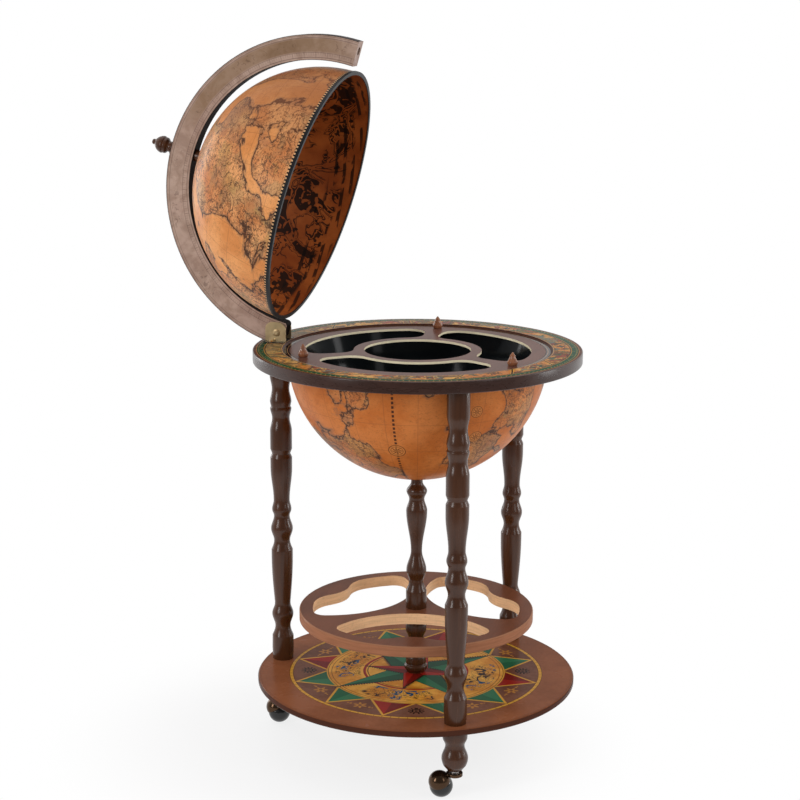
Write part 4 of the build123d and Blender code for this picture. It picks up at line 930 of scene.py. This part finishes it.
# ---------------------------------------------------------------- casters
for place, leg_angle, trail in zip(PLACES, LEG_ANGLES, TRAIL_ANGLES):
    swivel = at_leg(leg_angle) @ Matrix.Rotation(radians(trail), 4, "Z")
    axle = (swivel @ Matrix.Translation((TRAIL * MM, 0, BALL_RADIUS * MM))
            @ Matrix.Rotation(radians(LEAD), 4, "Z") @ Matrix.Rotation(radians(90 - TILT), 4, "Y"))
    bm = bmesh.new()
    # hood: outside, then inside with the seat of the axle
    inner = HOOD_RADIUS - HOOD_WALL
    outside = arc_points(HOOD_RADIUS, 0, 90, 20, HOOD_OFFSET)
    outside[-1] = (0, outside[-1][1])
    lathe(bm, [(inner, HOOD_OFFSET), *outside], 64, axle, sharp=40)
    inside = arc_points(inner, 0, HOOD_INSIDE_TOP, 14, HOOD_OFFSET)
    seat = [(AXLE_SEAT_RADIUS, AXLE_SEAT_HEIGHT), (AXLE_RADIUS, AXLE_SEAT_HEIGHT)]
    lathe(bm, inside + seat, 64, axle, sharp=40)
    # boss round the stem, and the arm from it to the hood
    boss_bottom = STEM_BOSS_TOP - STEM_BOSS_HEIGHT
    boss = [(STEM_RADIUS, STEM_BOSS_TOP), (STEM_BOSS_RADIUS, STEM_BOSS_TOP),
            (STEM_BOSS_RADIUS, boss_bottom), (STEM_RADIUS, boss_bottom)]
    lathe(bm, eased(boss, 0.6), 64, swivel, sharp=40)
    centre = axle @ Vector((0, 0, HOOD_OFFSET * MM))
    stem = swivel @ Vector((0, 0, 0))
    way = Vector((centre.x - stem.x, centre.y - stem.y, 0))
    side = Vector((-way.y, way.x, 0)).normalized() * ARM_HALF_WIDTH * MM
    near = stem + way.normalized() * ARM_START * MM
    far = stem + way * (1 - ARM_END_ROOM * MM / way.length)
    corners = [bm.verts.new(Vector((spot.x, spot.y, height * MM)) + side * width)
               for spot in (near, far) for width in (-1, 1)
               for height in (boss_bottom + ARM_INSET, STEM_BOSS_TOP - ARM_INSET)]
    for order in BOX_FACES:
        bm.faces.new([corners[i] for i in order])
    hood = mesh_object(f"caster_hood_{place}_smooth", bm, BRONZE)
    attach(hood, f"caster_{place}")
    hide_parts(f"caster_hood_{place}")
    # ball with flats at its poles
    flat_height = BALL_RADIUS * cos(radians(BALL_FLAT))
    recess_floor = BALL_RECESS_DEPTH - flat_height
    profile = [(BALL_BORE, recess_floor), (BALL_RECESS_RADIUS, recess_floor),
               (BALL_RECESS_RADIUS, -flat_height),
               *arc_points(BALL_RADIUS, BALL_FLAT - 90, 90 - BALL_FLAT, 36),
               (BALL_BORE, flat_height)]
    turned_piece(f"caster_wheel_{place}_smooth", eased(profile, 0.4), BALL, f"ball_{place}",
                 f"caster_wheel_{place}", [axle], 64)

# ---------------------------------------------------------------- floor
g = Graph("floor", Roughness=0.8, Specular_IOR_Level=0.0)
pale = mix(noise(g.at, 3.0), (0.86, 0.86, 0.87), (0.88, 0.88, 0.89))
g.put(g.shader.inputs["Base Color"], pale)
away, _ = polar(g, SHADOW_CENTRE)
white = 1 - FLOOR_SHADOW + step(away, SHADOW_INNER, SHADOW_OUTER) * FLOOR_SHADOW
shaders = (white * g.seen_directly(), Value(g, g.shader.outputs[0]),
           g.add("Emission", {"Strength": 1.0}))
surface = g.add("MixShader", enumerate(shaders))
g.put(g.tree.nodes["Material Output"].inputs["Surface"], surface)
bm = bmesh.new()
bmesh.ops.create_grid(bm, x_segments=1, y_segments=1, size=FLOOR_HALF)
mesh_object("floor", bm, g.material)

# ---------------------------------------------------------------- world
world = bpy.data.worlds.new("studio")
bpy.context.scene.world = world
world.use_nodes = True
world.node_tree.nodes.clear()
sky = Nodes(world.node_tree)
# the camera sees white; reflections see the backdrop behind the object, and a dim room in front
toward = dot(sky.add("TexCoord", out="Generated"), BACKDROP_WAY)
straight = sky.add("LightPath", out="Is Camera Ray")
seen = maximum(step(toward, -0.5, 0.3, ROOM, 1.0), straight)
shades = [sky.add("Background", {"Color": (1, 1, 1, 1), "Strength": strength})
          for strength in (DAYLIGHT, seen)]
surface = sky.add("MixShader", enumerate((sky.seen_directly(), *shades)))
sky.node("OutputWorld", {0: surface})

# ---------------------------------------------------------------- lamps and camera
for name, place, aim, size, watts in LAMPS:
    light = bpy.data.lights.new(name, "AREA")
    light.shape = "RECTANGLE"
    light.size, light.size_y = size
    light.energy = watts
    lamp = bpy.data.objects.new(name, light)
    bpy.context.scene.collection.objects.link(lamp)
    lamp.location = place
    lamp.rotation_euler = (Vector(aim) - Vector(place)).to_track_quat("-Z", "Y").to_euler()

camera = bpy.data.objects.new("camera", bpy.data.cameras.new("camera"))
bpy.context.scene.collection.objects.link(camera)
bpy.context.scene.camera = camera
camera.data.lens = FOCAL_LENGTH
camera.data.sensor_width = SENSOR_WIDTH
camera.data.clip_end = 50
forward = Vector((HEADING.x * cos(PITCH), HEADING.y * cos(PITCH), -sin(PITCH)))
look = forward.to_track_quat("-Z", "Y").to_matrix().to_4x4()
camera.matrix_world = Matrix.Translation(CAMERA_PLACE) @ look @ Matrix.Rotation(ROLL, 4, "Z")
bpy.context.scene.view_settings.view_transform = "Standard"

bpy.context.view_layer.update()
